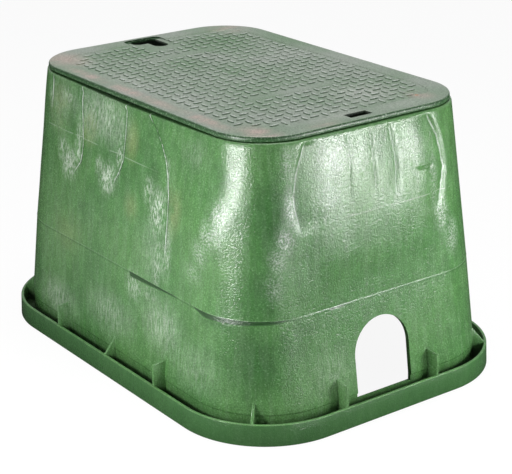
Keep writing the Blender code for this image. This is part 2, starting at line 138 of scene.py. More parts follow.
def band(tree, value, level, full, gone, strength):
    """A soft line where value is near a level: whole up to full away from it, nothing beyond gone."""
    away = math_node(tree, "ABSOLUTE", math_node(tree, "SUBTRACT", value, level))
    return ramp(tree, away, full, gone, strength, 0)


def mix(tree, share, first, second, blend="MIX"):
    """Mix two colours; each is a socket or three numbers."""
    item = tree.nodes.new("ShaderNodeMix")
    item.data_type = "RGBA"
    item.blend_type = blend
    return feed(tree, item, {0: share, 6: first, 7: second}).outputs[2]


def mix_shaders(tree, share, first, second):
    return node(tree, "MixShader", {0: share, 1: first, 2: second}).outputs[0]


def vector_math(tree, operation, first, second):
    """A reckoning with two vectors that gives one number."""
    item = tree.nodes.new("ShaderNodeVectorMath")
    item.operation = operation
    return feed(tree, item, {0: first, 1: second}).outputs["Value"]


def object_place(tree):
    return tree.nodes.new("ShaderNodeTexCoord").outputs["Object"]


def coordinate(tree, axis):
    return node(tree, "SeparateXYZ", {0: object_place(tree)}).outputs[axis]


def attribute(tree, name):
    item = tree.nodes.new("ShaderNodeAttribute")
    item.attribute_name = name
    return item.outputs["Fac"]


def noise(tree, scale, detail=2.0, stretch=None, rough=0.5, lean=0):
    """A noise on object coordinates. stretch scales each axis, so a small number draws the pattern out.

    lean tilts the pattern to the right, in degrees, as seen from the near long side."""
    place = object_place(tree)
    if stretch:
        turned = (0, math.radians(lean), 0)
        place = node(tree, "Mapping", {"Vector": place, "Scale": stretch, "Rotation": turned}).outputs[0]
    inputs = {"Vector": place, "Scale": scale, "Detail": detail, "Roughness": rough}
    return node(tree, "TexNoise", inputs).outputs["Fac"]


def bump(tree, heights):
    """Chain several bumps; heights is a list of (socket, distance, strength)."""
    before = {}
    for socket, distance, strength in heights:
        inputs = {"Height": socket, "Distance": distance, "Strength": strength}
        normal = node(tree, "Bump", {**inputs, **before}).outputs["Normal"]
        before = {"Normal": normal}
    return normal


def clear_tree(owner):
    """Give a floor or a world an empty graph."""
    owner.use_nodes = True
    owner.node_tree.nodes.clear()
    return owner.node_tree


# %% [markdown]
# ## Floor, backdrop and light
#
# The floor is a plain sheet. To the camera it is mostly a white glow, so that it reads as a white
# studio sweep, while the rest of the light still falls on a real surface and keeps a soft shadow.
# It fills the low walls with soft light, but as a reflection it is dark, so that dark greens stay dark.
# The surroundings are white to the camera and dim behind it. Small upright lamps stand close to the
# box, because a near lamp keeps its reflection short. They give the bright bands on the near corner and
# on the end wall.

# %% Floor and backdrop
FLOOR_SIZE = 12.0
FLOOR_GLOW = 0.92
FLOOR_PAINT = (0.9, 0.9, 0.9)
FLOOR_BOUNCE = (0.34, 0.34, 0.34)
FLOOR_SHEEN = (0.06, 0.06, 0.06)


def floor_material():
    material = bpy.data.materials.new("studio_floor")
    tree = clear_tree(material)
    rays = tree.nodes.new("ShaderNodeLightPath").outputs
    paint = node(tree, "BsdfDiffuse", {"Color": FLOOR_PAINT}).outputs[0]
    bounce = node(tree, "BsdfDiffuse", {"Color": FLOOR_BOUNCE}).outputs[0]
    sheen = node(tree, "BsdfDiffuse", {"Color": FLOOR_SHEEN}).outputs[0]
    glow = node(tree, "Emission", {"Color": WHITE, "Strength": 1.0}).outputs[0]
    unseen = mix_shaders(tree, rays["Is Glossy Ray"], bounce, sheen)
    surface = mix_shaders(tree, rays["Is Camera Ray"], unseen, paint)
    share = times(tree, rays["Is Camera Ray"], FLOOR_GLOW)
    node(tree, "OutputMaterial", {0: mix_shaders(tree, share, surface, glow)})
    return material


def add_floor():
    bpy.ops.object.select_all(action="DESELECT")
    bpy.ops.mesh.primitive_plane_add(size=FLOOR_SIZE, location=(0, 0, 0))
    floor = bpy.context.object
    floor.name = "floor"
    floor.data.materials.append(floor_material())


add_floor()

# %% World and lamps
WORLD_COLOUR = (0.97, 0.98, 1)
WORLD_LIGHT = 0.42
WORLD_DIM = 0.07
DIM_SIDE = (52, -4)
DIM_FADE = (0.25, 0.92)
LAMPS = {
    "right": dict(around=113.5, distance=0.753, base=0.172, size=(0.20, 0.11), radiance=41),
    "right_low": dict(around=123, distance=1.25, base=0.08, size=(0.36, 0.035), radiance=5),
    "middle": dict(around=88, distance=1.09, base=0.04, size=(0.08, 0.23), radiance=30),
    "left": dict(around=19.3, distance=0.64, base=0.185, size=(0.034, 0.11), radiance=215),
}
CARDS = {
    "card_left": dict(place=(-0.28, -0.46), turned=0, size=(0.80, 0.30), radiance=0.5),
    "card_far_left": dict(place=(-0.50, -1.05), turned=-28, size=(0.70, 0.30), radiance=2),
}
CARD_HEIGHT = 0.004
OVERHEAD = dict(height=1.7, size=(1.2, 1.0), radiance=4.8)


def direction(around, above):
    return (turn("Z", around) @ turn("X", 90 - above)).to_3x3() @ Vector((0, 0, 1))


def add_world():
    """White to the camera. To the object it is a pale room that is dim behind the camera."""
    world = bpy.data.worlds.new("studio")
    bpy.context.scene.world = world
    tree = clear_tree(world)
    place = tree.nodes.new("ShaderNodeTexCoord").outputs["Generated"]
    toward = vector_math(tree, "DOT_PRODUCT", place, direction(*DIM_SIDE))
    light = ramp(tree, toward, *DIM_FADE, WORLD_LIGHT, WORLD_DIM)
    room = node(tree, "Background", {"Color": WORLD_COLOUR, "Strength": light}).outputs[0]
    white = node(tree, "Background", {"Color": WHITE, "Strength": 1.0}).outputs[0]
    seen = tree.nodes.new("ShaderNodeLightPath").outputs["Is Camera Ray"]
    node(tree, "OutputWorld", {0: mix_shaders(tree, seen, room, white)})


def add_lamp(name, size, radiance, matrix):
    """A soft box that the camera doesn't see. Its power follows from how bright it looks."""
    data = bpy.data.lights.new(name, "AREA")
    data.shape = "RECTANGLE"
    data.size, data.size_y = size
    data.energy = radiance * math.pi * size[0] * size[1]
    lamp = bpy.data.objects.new(name, data)
    bpy.context.scene.collection.objects.link(lamp)
    lamp.matrix_world = matrix
    lamp.visible_camera = False


def upright(around, distance, base, size):
    """Where a soft box stands that faces the object, with its foot at the height base."""
    spot = direction(around, 0) * distance + Vector((0, 0, size[1] / 2 + base))
    return Matrix.Translation(spot) @ turn("Z", around) @ turn("X", 90)


bpy.context.scene.view_settings.view_transform = "Standard"
add_world()
for name, lamp in LAMPS.items():
    matrix = upright(lamp["around"], lamp["distance"], lamp["base"], lamp["size"])
    add_lamp(name, lamp["size"], lamp["radiance"], matrix)
for name, card in CARDS.items():
    matrix = Matrix.Translation((*card["place"], CARD_HEIGHT)) @ turn("Z", card["turned"]) @ turn("X", 180)
    add_lamp(name, card["size"], card["radiance"], matrix)
add_lamp("overhead", OVERHEAD["size"], OVERHEAD["radiance"], Matrix.Translation((0, 0, OVERHEAD["height"])))
print("lamps:", len(LAMPS), "upright,", len(CARDS), "cards and one overhead")

# %% [markdown]
# ## Tools for shaping
#
# Both mouldings have rounded rectangles for outlines, one above the other. Each is made as by hand:
# a plane is added in edit mode, stretched to size, and its four corners are rounded by a bevel on
# the vertices. The face goes and its edge stays. Two such loops are then bridged, which gives the
# wall between them. A loop is described by its length, width and corner radius, and by its height.

# %% Edit mode helpers
MM = 0.001
TINY = 2e-5
LIFT = 0.0113
LOOP_WIDTH = 0.0002


def pick(item):
    """Make an object the active one and the only one selected."""
    bpy.ops.object.select_all(action="DESELECT")
    bpy.context.view_layer.objects.active = item
    item.select_set(True)


def edit(item):
    pick(item)
    bpy.ops.object.mode_set(mode="EDIT")


def leave_edit():
    bpy.ops.object.mode_set(mode="OBJECT")


def new_mesh_object(name):
    item = bpy.data.objects.new(name, bpy.data.meshes.new(name))
    bpy.context.scene.collection.objects.link(item)
    return item


def select_where(item, test, mode="VERT"):
    """In edit mode, select only the vertices, edges or faces for which test is true."""
    bpy.ops.mesh.select_mode(type=mode)
    bpy.ops.mesh.select_all(action="DESELECT")
    bm = bmesh.from_edit_mesh(item.data)
    for part in {"VERT": bm.verts, "EDGE": bm.edges, "FACE": bm.faces}[mode]:
        if test(part):
            part.select_set(True)
    bm.select_flush_mode()
    bmesh.update_edit_mesh(item.data)


def outward_normals(item):
    bpy.ops.mesh.select_all(action="SELECT")
    bpy.ops.mesh.normals_make_consistent(inside=False)


def extrude(move):
    bpy.ops.mesh.extrude_region_move(TRANSFORM_OT_translate={"value": move})


def draw_out_half(item, axis, level, target):
    """Halve a cylinder across an axis at a level, and draw its cut face out to the target level."""
    across = Vector([number == axis for number in range(3)])
    bpy.ops.mesh.select_all(action="SELECT")
    bpy.ops.mesh.bisect(plane_co=across * level, plane_no=across, use_fill=True, clear_inner=True)
    select_where(item, lambda f: abs(f.normal[axis]) > 0.9 and f.calc_center_median()[axis] < level + TINY,
                 "FACE")
    extrude(across * (target - level))


# %% Object helpers
def add_solid(name, add_primitive, **settings):
    """Add a cube or a cylinder, and take its place, turn and size into its mesh."""
    bpy.ops.object.select_all(action="DESELECT")
    add_primitive(**settings)
    solid = bpy.context.object
    solid.name = name
    bpy.ops.object.transform_apply(location=True, rotation=True, scale=True)
    return solid


def add_box(name, low, high):
    low, high = Vector(low), Vector(high)
    return add_solid(name, bpy.ops.mesh.primitive_cube_add, size=1, location=(low + high) / 2,
                     scale=high - low)


def join_all(items):
    """Join objects into the first of them."""
    pick(items[0])
    for item in items[1:]:
        item.select_set(True)
    bpy.ops.object.join()
    return items[0]


def apply_boolean(item, other, operation="DIFFERENCE"):
    """Cut or join another object into this one, and remove that other object."""
    pick(item)
    modifier = item.modifiers.new("join_or_cut", "BOOLEAN")
    modifier.object = other
    modifier.operation = operation
    modifier.solver = "EXACT"
    bpy.ops.object.modifier_apply(modifier=modifier.name)
    bpy.data.objects.remove(other, do_unlink=True)


# %% Outlines
def outline_distance(x, y, size):
    """How far a point lies outside a rounded rectangle; it is negative inside."""
    length, width, corner = size
    over_x = abs(x) - (length / 2 - corner)
    over_y = abs(y) - (width / 2 - corner)
    return math.hypot(max(over_x, 0), max(over_y, 0)) + min(max(over_x, over_y), 0) - corner


def outline_reach(points, size):
    """How far each point lies outside a rounded rectangle, in mm, for all points at once."""
    length, width, corner = size
    over_x = np.abs(points[:, 0]) - (length / 2 - corner)
    over_y = np.abs(points[:, 1]) - (width / 2 - corner)
    outer = np.hypot(np.maximum(over_x, 0), np.maximum(over_y, 0))
    return (outer + np.minimum(np.maximum(over_x, over_y), 0) - corner) / MM


def near_loop(point, size):
    return abs(outline_distance(point.x, point.y, size)) < LOOP_WIDTH


def add_loop(item, size, height, steps, cuts):
    """Add one rounded rectangle of edges, with steps in each corner and cuts in long and short sides."""
    length, width, corner = size
    bpy.ops.mesh.select_mode(type="VERT")
    bpy.ops.mesh.primitive_plane_add(size=1, location=(0, 0, height))
    bpy.ops.transform.resize(value=(length, width, 1))
    bpy.ops.mesh.bevel(offset_type="OFFSET", offset=corner, segments=steps, affect="VERTICES",
                       profile=0.5, clamp_overlap=False)
    bpy.ops.mesh.delete(type="ONLY_FACE")
    longest_facet = 2 * corner * math.pi / 2 / steps
    for axis, count in enumerate(cuts):
        def is_side(edge):
            a, b = edge.verts[0].co, edge.verts[1].co
            if abs(a.z - height) > TINY or not edge.is_wire:
                return False
            return near_loop(a, size) and abs(a[axis] - b[axis]) > longest_facet
        select_where(item, is_side, "EDGE")
        bpy.ops.mesh.subdivide(number_cuts=count)


def select_loops(item, loops):
    def on_one(edge):
        a, b = edge.verts[0].co, edge.verts[1].co
        for size, height in loops:
            if abs(a.z - height) < TINY and abs(b.z - height) < TINY:
                if near_loop(a, size) and near_loop(b, size):
                    return True
        return False
    select_where(item, on_one, "EDGE")


def fill_loop(item, ring):
    select_loops(item, [ring[:2]])
    bpy.ops.mesh.edge_face_add()


def lift_loop(item, size, height, rise):
    select_loops(item, [(size, height)])
    bpy.ops.transform.translate(value=(0, 0, rise))


def skin_loops(item, rings, steps, cuts, closed=False):
    """Add every ring as a loop and bridge each to the next. A ring is (size, height, rows above it).

    Bridging cannot tell which way two loops in one plane run, so one of them is lifted meanwhile."""
    for size, height, rows in rings:
        add_loop(item, size, height, steps, cuts)
    after = rings[1:] + rings[:1] if closed else rings[1:]
    for (size, height, rows), (next_size, next_height, _) in zip(rings, after):
        lift = LIFT if abs(height - next_height) < LIFT / 10 else 0
        if lift:
            lift_loop(item, size, height, lift)
        select_loops(item, [(size, height + lift), (next_size, next_height)])
        bpy.ops.mesh.bridge_edge_loops(number_cuts=rows, interpolation="LINEAR")
        if lift:
            lift_loop(item, size, height + lift, -lift)


def grow(size, offset):
    length, width, corner = size
    return (length + 2 * offset, width + 2 * offset, corner + offset)


def between(low, high, share):
    return tuple(a + (b - a) * share for a, b in zip(low, high))


# %% [markdown]
# ## The body's section
#
# The moulding is one wall that is folded over itself: under the flange, up the rim, down into the
# channel, up the outside in two tapers with a small lip between them, over the seat for the lid and
# down the inside. Following that path as a list of loops gives one closed skin with the true wall
# thickness. The upper wall gets many rows, since it will be dented.

# %% Body rings
FOOT = (0.502, 0.358, 0.090)
STEP = (0.474, 0.340, 0.078)
TOP = (0.442, 0.296, 0.066)
FOOT_HEIGHT = 0.0275
STEP_HEIGHT = 0.1257
BODY_HEIGHT = body_high.z
WALL = 0.004
CHANNEL = 0.0117
RIM_WALL = 0.0033
RIM_HEIGHT = 0.024
RIM_ROUND = 0.0010
FLANGE = 0.004
UNDERCUT = 0.0012
STEP_LIP = 0.0012
STEP_BEAD = 0.0002
LIP_HEIGHT = 0.0075
SEAT_WIDTH = 0.007
SEAT_DEPTH = 0.012
SEAT_TAPER = 0.008
TOP_ROUND = 0.002
BODY_STEPS = 28
BODY_CUTS = (150, 84)
UPPER_ROWS = 72
LOWER_ROWS = 10
LIP_ROWS = 5
INNER_ROWS = 8


def upper_size(height, offset=0.0):
    share = (height - STEP_HEIGHT) / (BODY_HEIGHT - STEP_HEIGHT)
    return grow(between(STEP, TOP, share), offset)


def lower_size(height, offset=0.0):
    share = (height - FOOT_HEIGHT) / (STEP_HEIGHT - FOOT_HEIGHT)
    return grow(between(FOOT, STEP, share), offset)


def foot_ring(offset, height, rows=0):
    return grow(FOOT, offset), height, rows


def lower_ring(height, offset=0.0, rows=0):
    return lower_size(height, offset), height, rows


def upper_ring(height, offset=0.0, rows=0):
    return upper_size(height, offset), height, rows


def top_ring(offset, height, rows=0):
    return grow(TOP, offset), height, rows


def body_rings():
    rim_out = CHANNEL + RIM_WALL
    lip_foot = STEP_HEIGHT - LIP_HEIGHT
    seat_foot = BODY_HEIGHT - SEAT_DEPTH
    return [
        foot_ring(-UNDERCUT - WALL, 0.0),
        foot_ring(rim_out, 0.0),
        foot_ring(rim_out + RIM_ROUND * 0.7, RIM_ROUND * 0.3),
        foot_ring(rim_out + RIM_ROUND, RIM_ROUND, 1),
        foot_ring(rim_out, RIM_HEIGHT - RIM_ROUND),
        foot_ring(rim_out - RIM_ROUND * 0.3, RIM_HEIGHT - RIM_ROUND * 0.3),
        foot_ring(rim_out - RIM_ROUND, RIM_HEIGHT),
        foot_ring(CHANNEL + RIM_ROUND * 0.6, RIM_HEIGHT),
        foot_ring(CHANNEL, RIM_HEIGHT - RIM_ROUND * 0.6),
        foot_ring(CHANNEL - RIM_ROUND, FLANGE + RIM_ROUND),
        foot_ring(CHANNEL - RIM_ROUND * 2, FLANGE),
        foot_ring(-UNDERCUT + RIM_ROUND, FLANGE),
        foot_ring(-UNDERCUT, FLANGE + RIM_ROUND, 1),
        foot_ring(-UNDERCUT, FOOT_HEIGHT - UNDERCUT * 1.2),
        foot_ring(-UNDERCUT * 0.2, FOOT_HEIGHT - UNDERCUT * 0.2),
        lower_ring(FOOT_HEIGHT + 0.001, rows=LOWER_ROWS),
        lower_ring(lip_foot, rows=LIP_ROWS),
        upper_ring(STEP_HEIGHT - STEP_BEAD),
        upper_ring(STEP_HEIGHT, STEP_BEAD),
        upper_ring(STEP_HEIGHT + STEP_BEAD, STEP_BEAD * 0.7),
        upper_ring(STEP_HEIGHT + STEP_BEAD * 2),
        upper_ring(STEP_HEIGHT + STEP_BEAD * 6, rows=UPPER_ROWS),
        upper_ring(BODY_HEIGHT - TOP_ROUND),
        top_ring(-TOP_ROUND * 0.12, BODY_HEIGHT - TOP_ROUND * 0.5),
        top_ring(-TOP_ROUND * 0.5, BODY_HEIGHT - TOP_ROUND * 0.12),
        top_ring(-TOP_ROUND, BODY_HEIGHT),
        top_ring(-SEAT_WIDTH, BODY_HEIGHT),
        top_ring(-SEAT_WIDTH, seat_foot, 1),
        upper_ring(seat_foot - SEAT_TAPER, -WALL, INNER_ROWS),
        upper_ring(STEP_HEIGHT, -WALL - STEP_LIP / 2, 2),
        lower_ring(lip_foot, -WALL - STEP_LIP / 2, INNER_ROWS // 2),
        foot_ring(-UNDERCUT - WALL, FOOT_HEIGHT, 1),
    ]


# %% Body shell
def build_body_shell():
    shell = new_mesh_object("box_body_moulding")
    edit(shell)
    skin_loops(shell, body_rings(), BODY_STEPS, BODY_CUTS, closed=True)
    outward_normals(shell)
    leave_edit()
    return shell


body = build_body_shell()
print("body shell:", len(body.data.vertices), "vertices", len(body.data.polygons), "faces")

# %% [markdown]
# ## Sink marks in the walls
#
# A thick-walled polyethylene moulding never cools evenly. Long shallow flutes hang from its top edge,
# each with one sharp side and one gentle side, and they are what breaks up the shine. Sculpting them
# by hand would be slow to repeat, so each is given as a line of points on the unrolled wall, in
# millimetres, and the wall's vertices are moved by a function of their distance from it. Broad waves
# and swellings are added the same way. Just under the step line the lower wall is tucked in here and
# there by less than a millimetre, which casts a little shade, and the finish paints that band nearly
# black as painted shade.

# %% The unrolled wall
CREASE_TOP = (297, 304)
# Corner points lie at 45 degrees, so these limits give each of them to one wall only.
WALL_LIMITS = (math.radians(-45.01), math.radians(44.99))


def mesh_points(item):
    points = np.empty(len(item.data.vertices) * 3)
    item.data.vertices.foreach_get("co", points)
    return points.reshape(-1, 3)


def wall_size(height):
    """Outline of the wall at each height, as arrays, for the upper and the lower wall."""
    upper = np.clip((height - STEP_HEIGHT) / (BODY_HEIGHT - STEP_HEIGHT), 0, 1)
    lower = np.clip((height - FOOT_HEIGHT) / (STEP_HEIGHT - FOOT_HEIGHT), 0, 1)
    size = []
    for foot, step, top in zip(FOOT, STEP, TOP):
        size.append(np.where(height > STEP_HEIGHT, step + (top - step) * upper,
                             foot + (step - foot) * lower))
    return size


def unroll(points, turns):
    """Place along one wall, in mm from its middle and on round the corners, and the angle of facing.

    turns is how many quarter turns the wall lies from the near long side."""
    x, y, z = points.T
    length, width, corner = wall_size(z)
    for _ in range(turns):
        x, y = y, -x
        length, width = width, length
    half = length / 2 - corner
    over = np.abs(x) - half
    angle = np.arctan2(np.maximum(over, 0), np.maximum(-y - (width / 2 - corner), 1e-6))
    along = np.sign(x) * np.where(over > 0, half + corner * angle, np.abs(x))
    return along / MM, np.sign(x) * angle, -y


def smooth(share):
    share = np.clip(share, 0, 1)
    return share * share * (3 - 2 * share)


def line_at(height, points):
    """Where a line of (along, height) points lies at each height."""
    points = sorted(points, key=lambda p: p[1])
    return np.interp(height, [p[1] for p in points], [p[0] for p in points])


def below_top(height):
    """One on the wall, fading to nothing at its top edge."""
    return 1 - smooth((height - CREASE_TOP[0]) / (CREASE_TOP[1] - CREASE_TOP[0]))


def each_wall(points):
    """For each wall: its number, the places along it, the angles of facing, and which points it owns."""
    for turns in range(4):
        along, angle, reach = unroll(points, turns)
        own = (reach > 0) & (angle > WALL_LIMITS[0]) & (angle < WALL_LIMITS[1])
        yield turns, along, angle, own


# %% Creases
# Each crease: points (along, height), depth, reach to the left and to the right, length of the fade at
# its foot, and how deep its sharp fold is, which the finish draws as a bump with a painted highlight
# and a painted shade line beside it.
NEAR_SIDE_CREASES = [
    ([(-95, 300), (-95, 286), (-90, 260), (-87, 237), (-90, 218), (-107, 196)], 2.6, 36, 7, 24, 1.0),
    ([(-5, 300), (-3, 269), (-4, 241), (-12, 223), (-22, 205)], 2.8, 42, 7, 24, 0.9),
    ([(42, 300), (56, 288), (68, 275), (77, 261), (83, 242), (86, 221), (88, 180), (90, 150)],
     2.8, 38, 7, 50, 1.1),
    ([(-159, 300), (-158, 262)], 0.7, 8, 10, 20, 0.8),
    ([(140, 300), (150, 262), (150, 200)], 0.8, 30, 30, 40, 0.0),
]
NEAR_END_CREASES = [
    ([(-84, 300), (-94, 276), (-100, 250), (-99, 236), (-93, 206)], 2.8, 7, 40, 20, 0.5),
    ([(-31, 304), (-29, 290), (-34, 216)], 0.6, 12, 5, 40, 0.12),
    ([(-1, 304), (0, 270), (3, 212)], 1.0, 26, 5, 44, 0.22),
    ([(24, 304), (31, 262), (27, 206)], 1.7, 30, 8, 44, 0.22),
    ([(75, 304), (90, 276), (99, 242), (92, 212), (84, 194)], 3.0, 36, 7, 22, 0.5),
]
FAR_SIDE_CREASES = [
    ([(-118, 300), (-108, 262), (-112, 226), (-124, 204)], 2.2, 32, 7, 26, 0.9),
    ([(-26, 300), (-18, 270), (-20, 236), (-34, 210)], 2.5, 40, 7, 26, 0.9),
    ([(64, 300), (72, 266), (70, 232), (58, 206)], 2.6, 38, 7, 30, 1.0),
    ([(132, 300), (140, 262), (136, 232)], 1.4, 26, 9, 30, 0.5),
]
FAR_END_CREASES = [
    ([(-78, 304), (-92, 268), (-98, 240), (-88, 204)], 2.7, 7, 36, 22, 1.1),
    ([(-24, 304), (-26, 262), (-20, 224)], 1.5, 16, 12, 24, 0.6),
    ([(12, 304), (10, 266), (14, 230)], 1.6, 12, 16, 22, 0.7),
    ([(80, 304), (94, 266), (98, 236), (86, 200)], 2.7, 36, 7, 22, 1.1),
]
WALL_CREASES = [NEAR_SIDE_CREASES, NEAR_END_CREASES, FAR_SIDE_CREASES, FAR_END_CREASES]


def lowest(points):
    return min(height for _, height in points)


def crease_depth(along, height, crease):
    points, depth, left, right, fade, _ = crease
    offset = along - line_at(height, points)
    share = np.clip(1 - np.abs(offset) / np.where(offset < 0, left, right), 0, 1)
    return -depth * share ** 2 * smooth((height - lowest(points)) / fade)


# %% Soft waves
# Long waves that the eye sees only in the shine: (length along, length up, size, phase), in mm.
BULGES = {0: (1.2, 150), 1: (3.2, 86), 2: (1.5, 150), 3: (2.6, 86)}
WAVES = [(88, 210, 0.30, 0.4), (57, 150, 0.16, 2.1), (31, 120, 0.10, 4.0), (140, 90, 0.22, 1.2)]
TOP_DIPS = {
    0: [(-200, 0.5), (-155, 1.6), (-100, 2.6), (-50, 3.9), (-10, 4.2), (60, 3.3), (120, 1.9), (165, 0.7)],
    1: [(-120, 0.4), (0, 0.7), (120, 0.4)],
    2: [(-180, 0.5), (-100, 1.5), (0, 2.2), (100, 1.4), (180, 0.5)],
    3: [(-120, 0.4), (0, 0.7), (120, 0.4)],
}
TOP_DIP_START = 262
TOP_DIP_RISE = 43
BULGE_MARGIN = 12
BULGE_FADE = 40


def wave_depth(along, height, turns):
    """The sum of all waves. Each wall shifts them by its own amount, so that no two walls look alike."""
    total = np.zeros_like(along)
    for long_way, up_way, size, phase in WAVES:
        shift = phase + 1.7 * turns
        total += size * np.sin(2 * np.pi * along / long_way + shift) * np.cos(
            2 * np.pi * height / up_way + 2.3 * shift)
    return total


def bulge_depth(along, height, turns):
    """The wall swells between the step line and its top edge, most at the middle of its length."""
    size, reach = BULGES[turns]
    rise = (height - STEP_HEIGHT / MM) / (BODY_HEIGHT - STEP_HEIGHT) * MM
    upright = np.sin(np.pi * np.clip(rise, 0, 1) ** 1.1)
    return size * upright * smooth((reach + BULGE_MARGIN - np.abs(along)) / BULGE_FADE)


# Broad swellings that turn the shine aside: (along, height, reach along, reach up, size), in mm.
SWELLS = {
    0: [(154, 206, 50, 60, 6.0)],
    1: [(-128, 178, 26, 44, 1.6)],
    2: [(-130, 200, 44, 60, 3.0)],
    3: [(110, 190, 40, 50, 2.0)],
}


def swell_depth(along, height, turns):
    total = np.zeros_like(along)
    for middle, level, reach, rise, size in SWELLS[turns]:
        across = smooth(1 - np.abs(along - middle) / reach)
        total += size * across * smooth(1 - np.abs(height - level) / rise)
    return total


# Under the step line the lower wall is tucked in, here and there: (along, height of the tuck), in mm.
TUCK_SLOPE = 0.12
TUCKS = {
    0: [(23, 0), (27, 7), (60, 5.5), (116, 2.0), (120, 0), (138, 0), (165, 6.5), (230, 5.5)],
    1: [(-160, 5.5), (-128, 4.5), (-106, 0), (-68, 0), (-63, 3.2), (-46, 2.2), (-36, 0)],
}


def tuck_depth(points, along, height, turns):
    """How far the lower wall is pushed in just under the step line."""
    outside = outline_reach(points, wall_size(points[:, 2])) > -WALL * 0.7 / MM
    below = (STEP_HEIGHT - STEP_BEAD / 2) / MM - height
    tall = np.interp(along, *zip(*TUCKS[turns])) if turns in TUCKS else np.zeros_like(along)
    return -TUCK_SLOPE * outside * (below > 0) * np.maximum(tall - below, 0)


# Dents begin this far above the step line and grow over this height, in mm. Round the corners they
# begin to fade at the first of two angles and fade over the second, in degrees.
DENT_START = 3
DENT_RISE = 50
FOLD_RISE = 20
CORNER_FADE = (20, 25)


def dent_walls(item):
    """Move the wall's vertices, outside and inside alike, so that the wall keeps its thickness."""
    points = mesh_points(item)
    height = points[:, 2] / MM
    moved = points.copy()
    upper = smooth((height - STEP_HEIGHT / MM - DENT_START) / DENT_RISE)
    for turns, along, angle, own in each_wall(points):
        fade = 1 - smooth((np.abs(np.degrees(angle)) - CORNER_FADE[0]) / CORNER_FADE[1])
        depth = (wave_depth(along, height, turns) + bulge_depth(along, height, turns)) * fade
        for crease in WALL_CREASES[turns]:
            depth += crease_depth(along, height, crease) * fade
        depth += swell_depth(along, height, turns) * fade
        depth = (depth * upper * below_top(height) + tuck_depth(points, along, height, turns)) * own * MM
        out_x, out_y = np.sin(angle), -np.cos(angle)
        for _ in range(turns):
            out_x, out_y = -out_y, out_x
        moved[:, 0] += depth * out_x
        moved[:, 1] += depth * out_y
        dip = np.interp(along, *zip(*TOP_DIPS[turns]))
        moved[:, 2] -= np.where(own, dip * smooth((height - TOP_DIP_START) / TOP_DIP_RISE) ** 2, 0) * MM
    item.data.vertices.foreach_set("co", moved.ravel())
    item.data.update()


dent_walls(body)
print("dented walls:", sum(len(c) for c in WALL_CREASES), "creases")

# %% [markdown]
# ## Gussets
#
# Small upright plates tie the rim to the wall. There are tall ones whose top is nearly level, and low
# ones that fall away to the rim. One of each is modelled from a cube: the top edge is moved until the
# plate leans with the wall, and its edges get a small bevel. Then it is copied round the foot.

# %% Gusset plates
GUSSET_THICKNESS = 0.003
TALL_GUSSET = 0.050
TALL_FALL = 0.0015
LOW_GUSSET = 0.0435
SIDE_SPACING = 0.100
END_SPACING = 0.124
GUSSET_BITE = 0.002
GUSSET_BEVEL = 0.0004
WALL_RISE = STEP_HEIGHT - FOOT_HEIGHT
END_SLOPE = (FOOT[0] - STEP[0]) / 2 / WALL_RISE
SIDE_SLOPE = (FOOT[1] - STEP[1]) / 2 / WALL_RISE


def model_gusset(name, slope, tall):
    """One plate that stands at the origin and points along +X, from the foot of the wall outwards."""
    height = TALL_GUSSET if tall else LOW_GUSSET
    base = FLANGE - GUSSET_BITE
    inner, outer = -UNDERCUT - GUSSET_BITE, CHANNEL + RIM_WALL * 0.7
    plate = add_solid(name, bpy.ops.mesh.primitive_cube_add, size=1,
                      location=((inner + outer) / 2, 0, (base + height) / 2),
                      scale=(outer - inner, GUSSET_THICKNESS, height - base))
    edit(plate)
    select_where(plate, lambda v: v.co.z > height - TINY and v.co.x < 0)
    bpy.ops.transform.translate(value=(-slope * (height - FOOT_HEIGHT) - GUSSET_BITE - inner, 0, 0))
    drop = TALL_FALL if tall else height - RIM_HEIGHT + RIM_ROUND
    inset = 0 if tall else RIM_WALL * 0.2
    select_where(plate, lambda v: v.co.z > height - TINY and v.co.x > 0)
    bpy.ops.transform.translate(value=(-inset, 0, -drop))
    select_where(plate, lambda e: all(v.co.z > RIM_HEIGHT - 0.002 for v in e.verts)
                 or all(v.co.x > 0 for v in e.verts), "EDGE")
    bpy.ops.mesh.bevel(offset=GUSSET_BEVEL, segments=2, affect="EDGES")
    leave_edit()
    return plate


def copy_turned(item, name, degrees, place):
    """A copy with its own mesh, turned about the vertical and moved, with its object at the origin."""
    copy = bpy.data.objects.new(name, item.data.copy())
    bpy.context.scene.collection.objects.link(copy)
    copy.data.transform(Matrix.Translation(place) @ turn("Z", degrees))
    return copy


def add_gussets():
    masters = {
        "side_tall": model_gusset("side_tall", SIDE_SLOPE, True),
        "side_low": model_gusset("side_low", SIDE_SLOPE, False),
        "end_tall": model_gusset("end_tall", END_SLOPE, True),
        "corner": model_gusset("corner", max(END_SLOPE, SIDE_SLOPE), False),
    }
    copies = []
    for sign in (-1, 1):
        for place in (-1, 0, 1):
            master = masters["side_low" if place == 0 else "side_tall"]
            spot = (place * SIDE_SPACING, sign * FOOT[1] / 2, 0)
            copies.append(copy_turned(master, "gusset", 90 * sign, spot))
        for place in (-1, 1):
            spot = (sign * FOOT[0] / 2, place * END_SPACING / 2, 0)
            copies.append(copy_turned(masters["end_tall"], "gusset", 0 if sign > 0 else 180, spot))
        for other in (-1, 1):
            diagonal = Vector((sign, other, 0)).normalized()
            centre = Vector((sign * (FOOT[0] / 2 - FOOT[2]), other * (FOOT[1] / 2 - FOOT[2]), 0))
            angle = math.degrees(math.atan2(other, sign))
            copies.append(copy_turned(masters["corner"], "gusset", angle, centre + diagonal * FOOT[2]))
    for master in masters.values():
        bpy.data.objects.remove(master, do_unlink=True)
    return join_all(copies)


gussets = add_gussets()
print("gussets:", len(gussets.data.polygons), "faces")
apply_boolean(body, gussets, "UNION")
print("with gussets:", len(body.data.polygons), "faces")

# %% [markdown]
# ## Pipe holes
#
# Each end wall has an arched hole for a pipe. A cylinder gives the arch. It is halved, and its flat
# underside is pulled down to the sill, so one cutter makes arch and jambs without a seam.

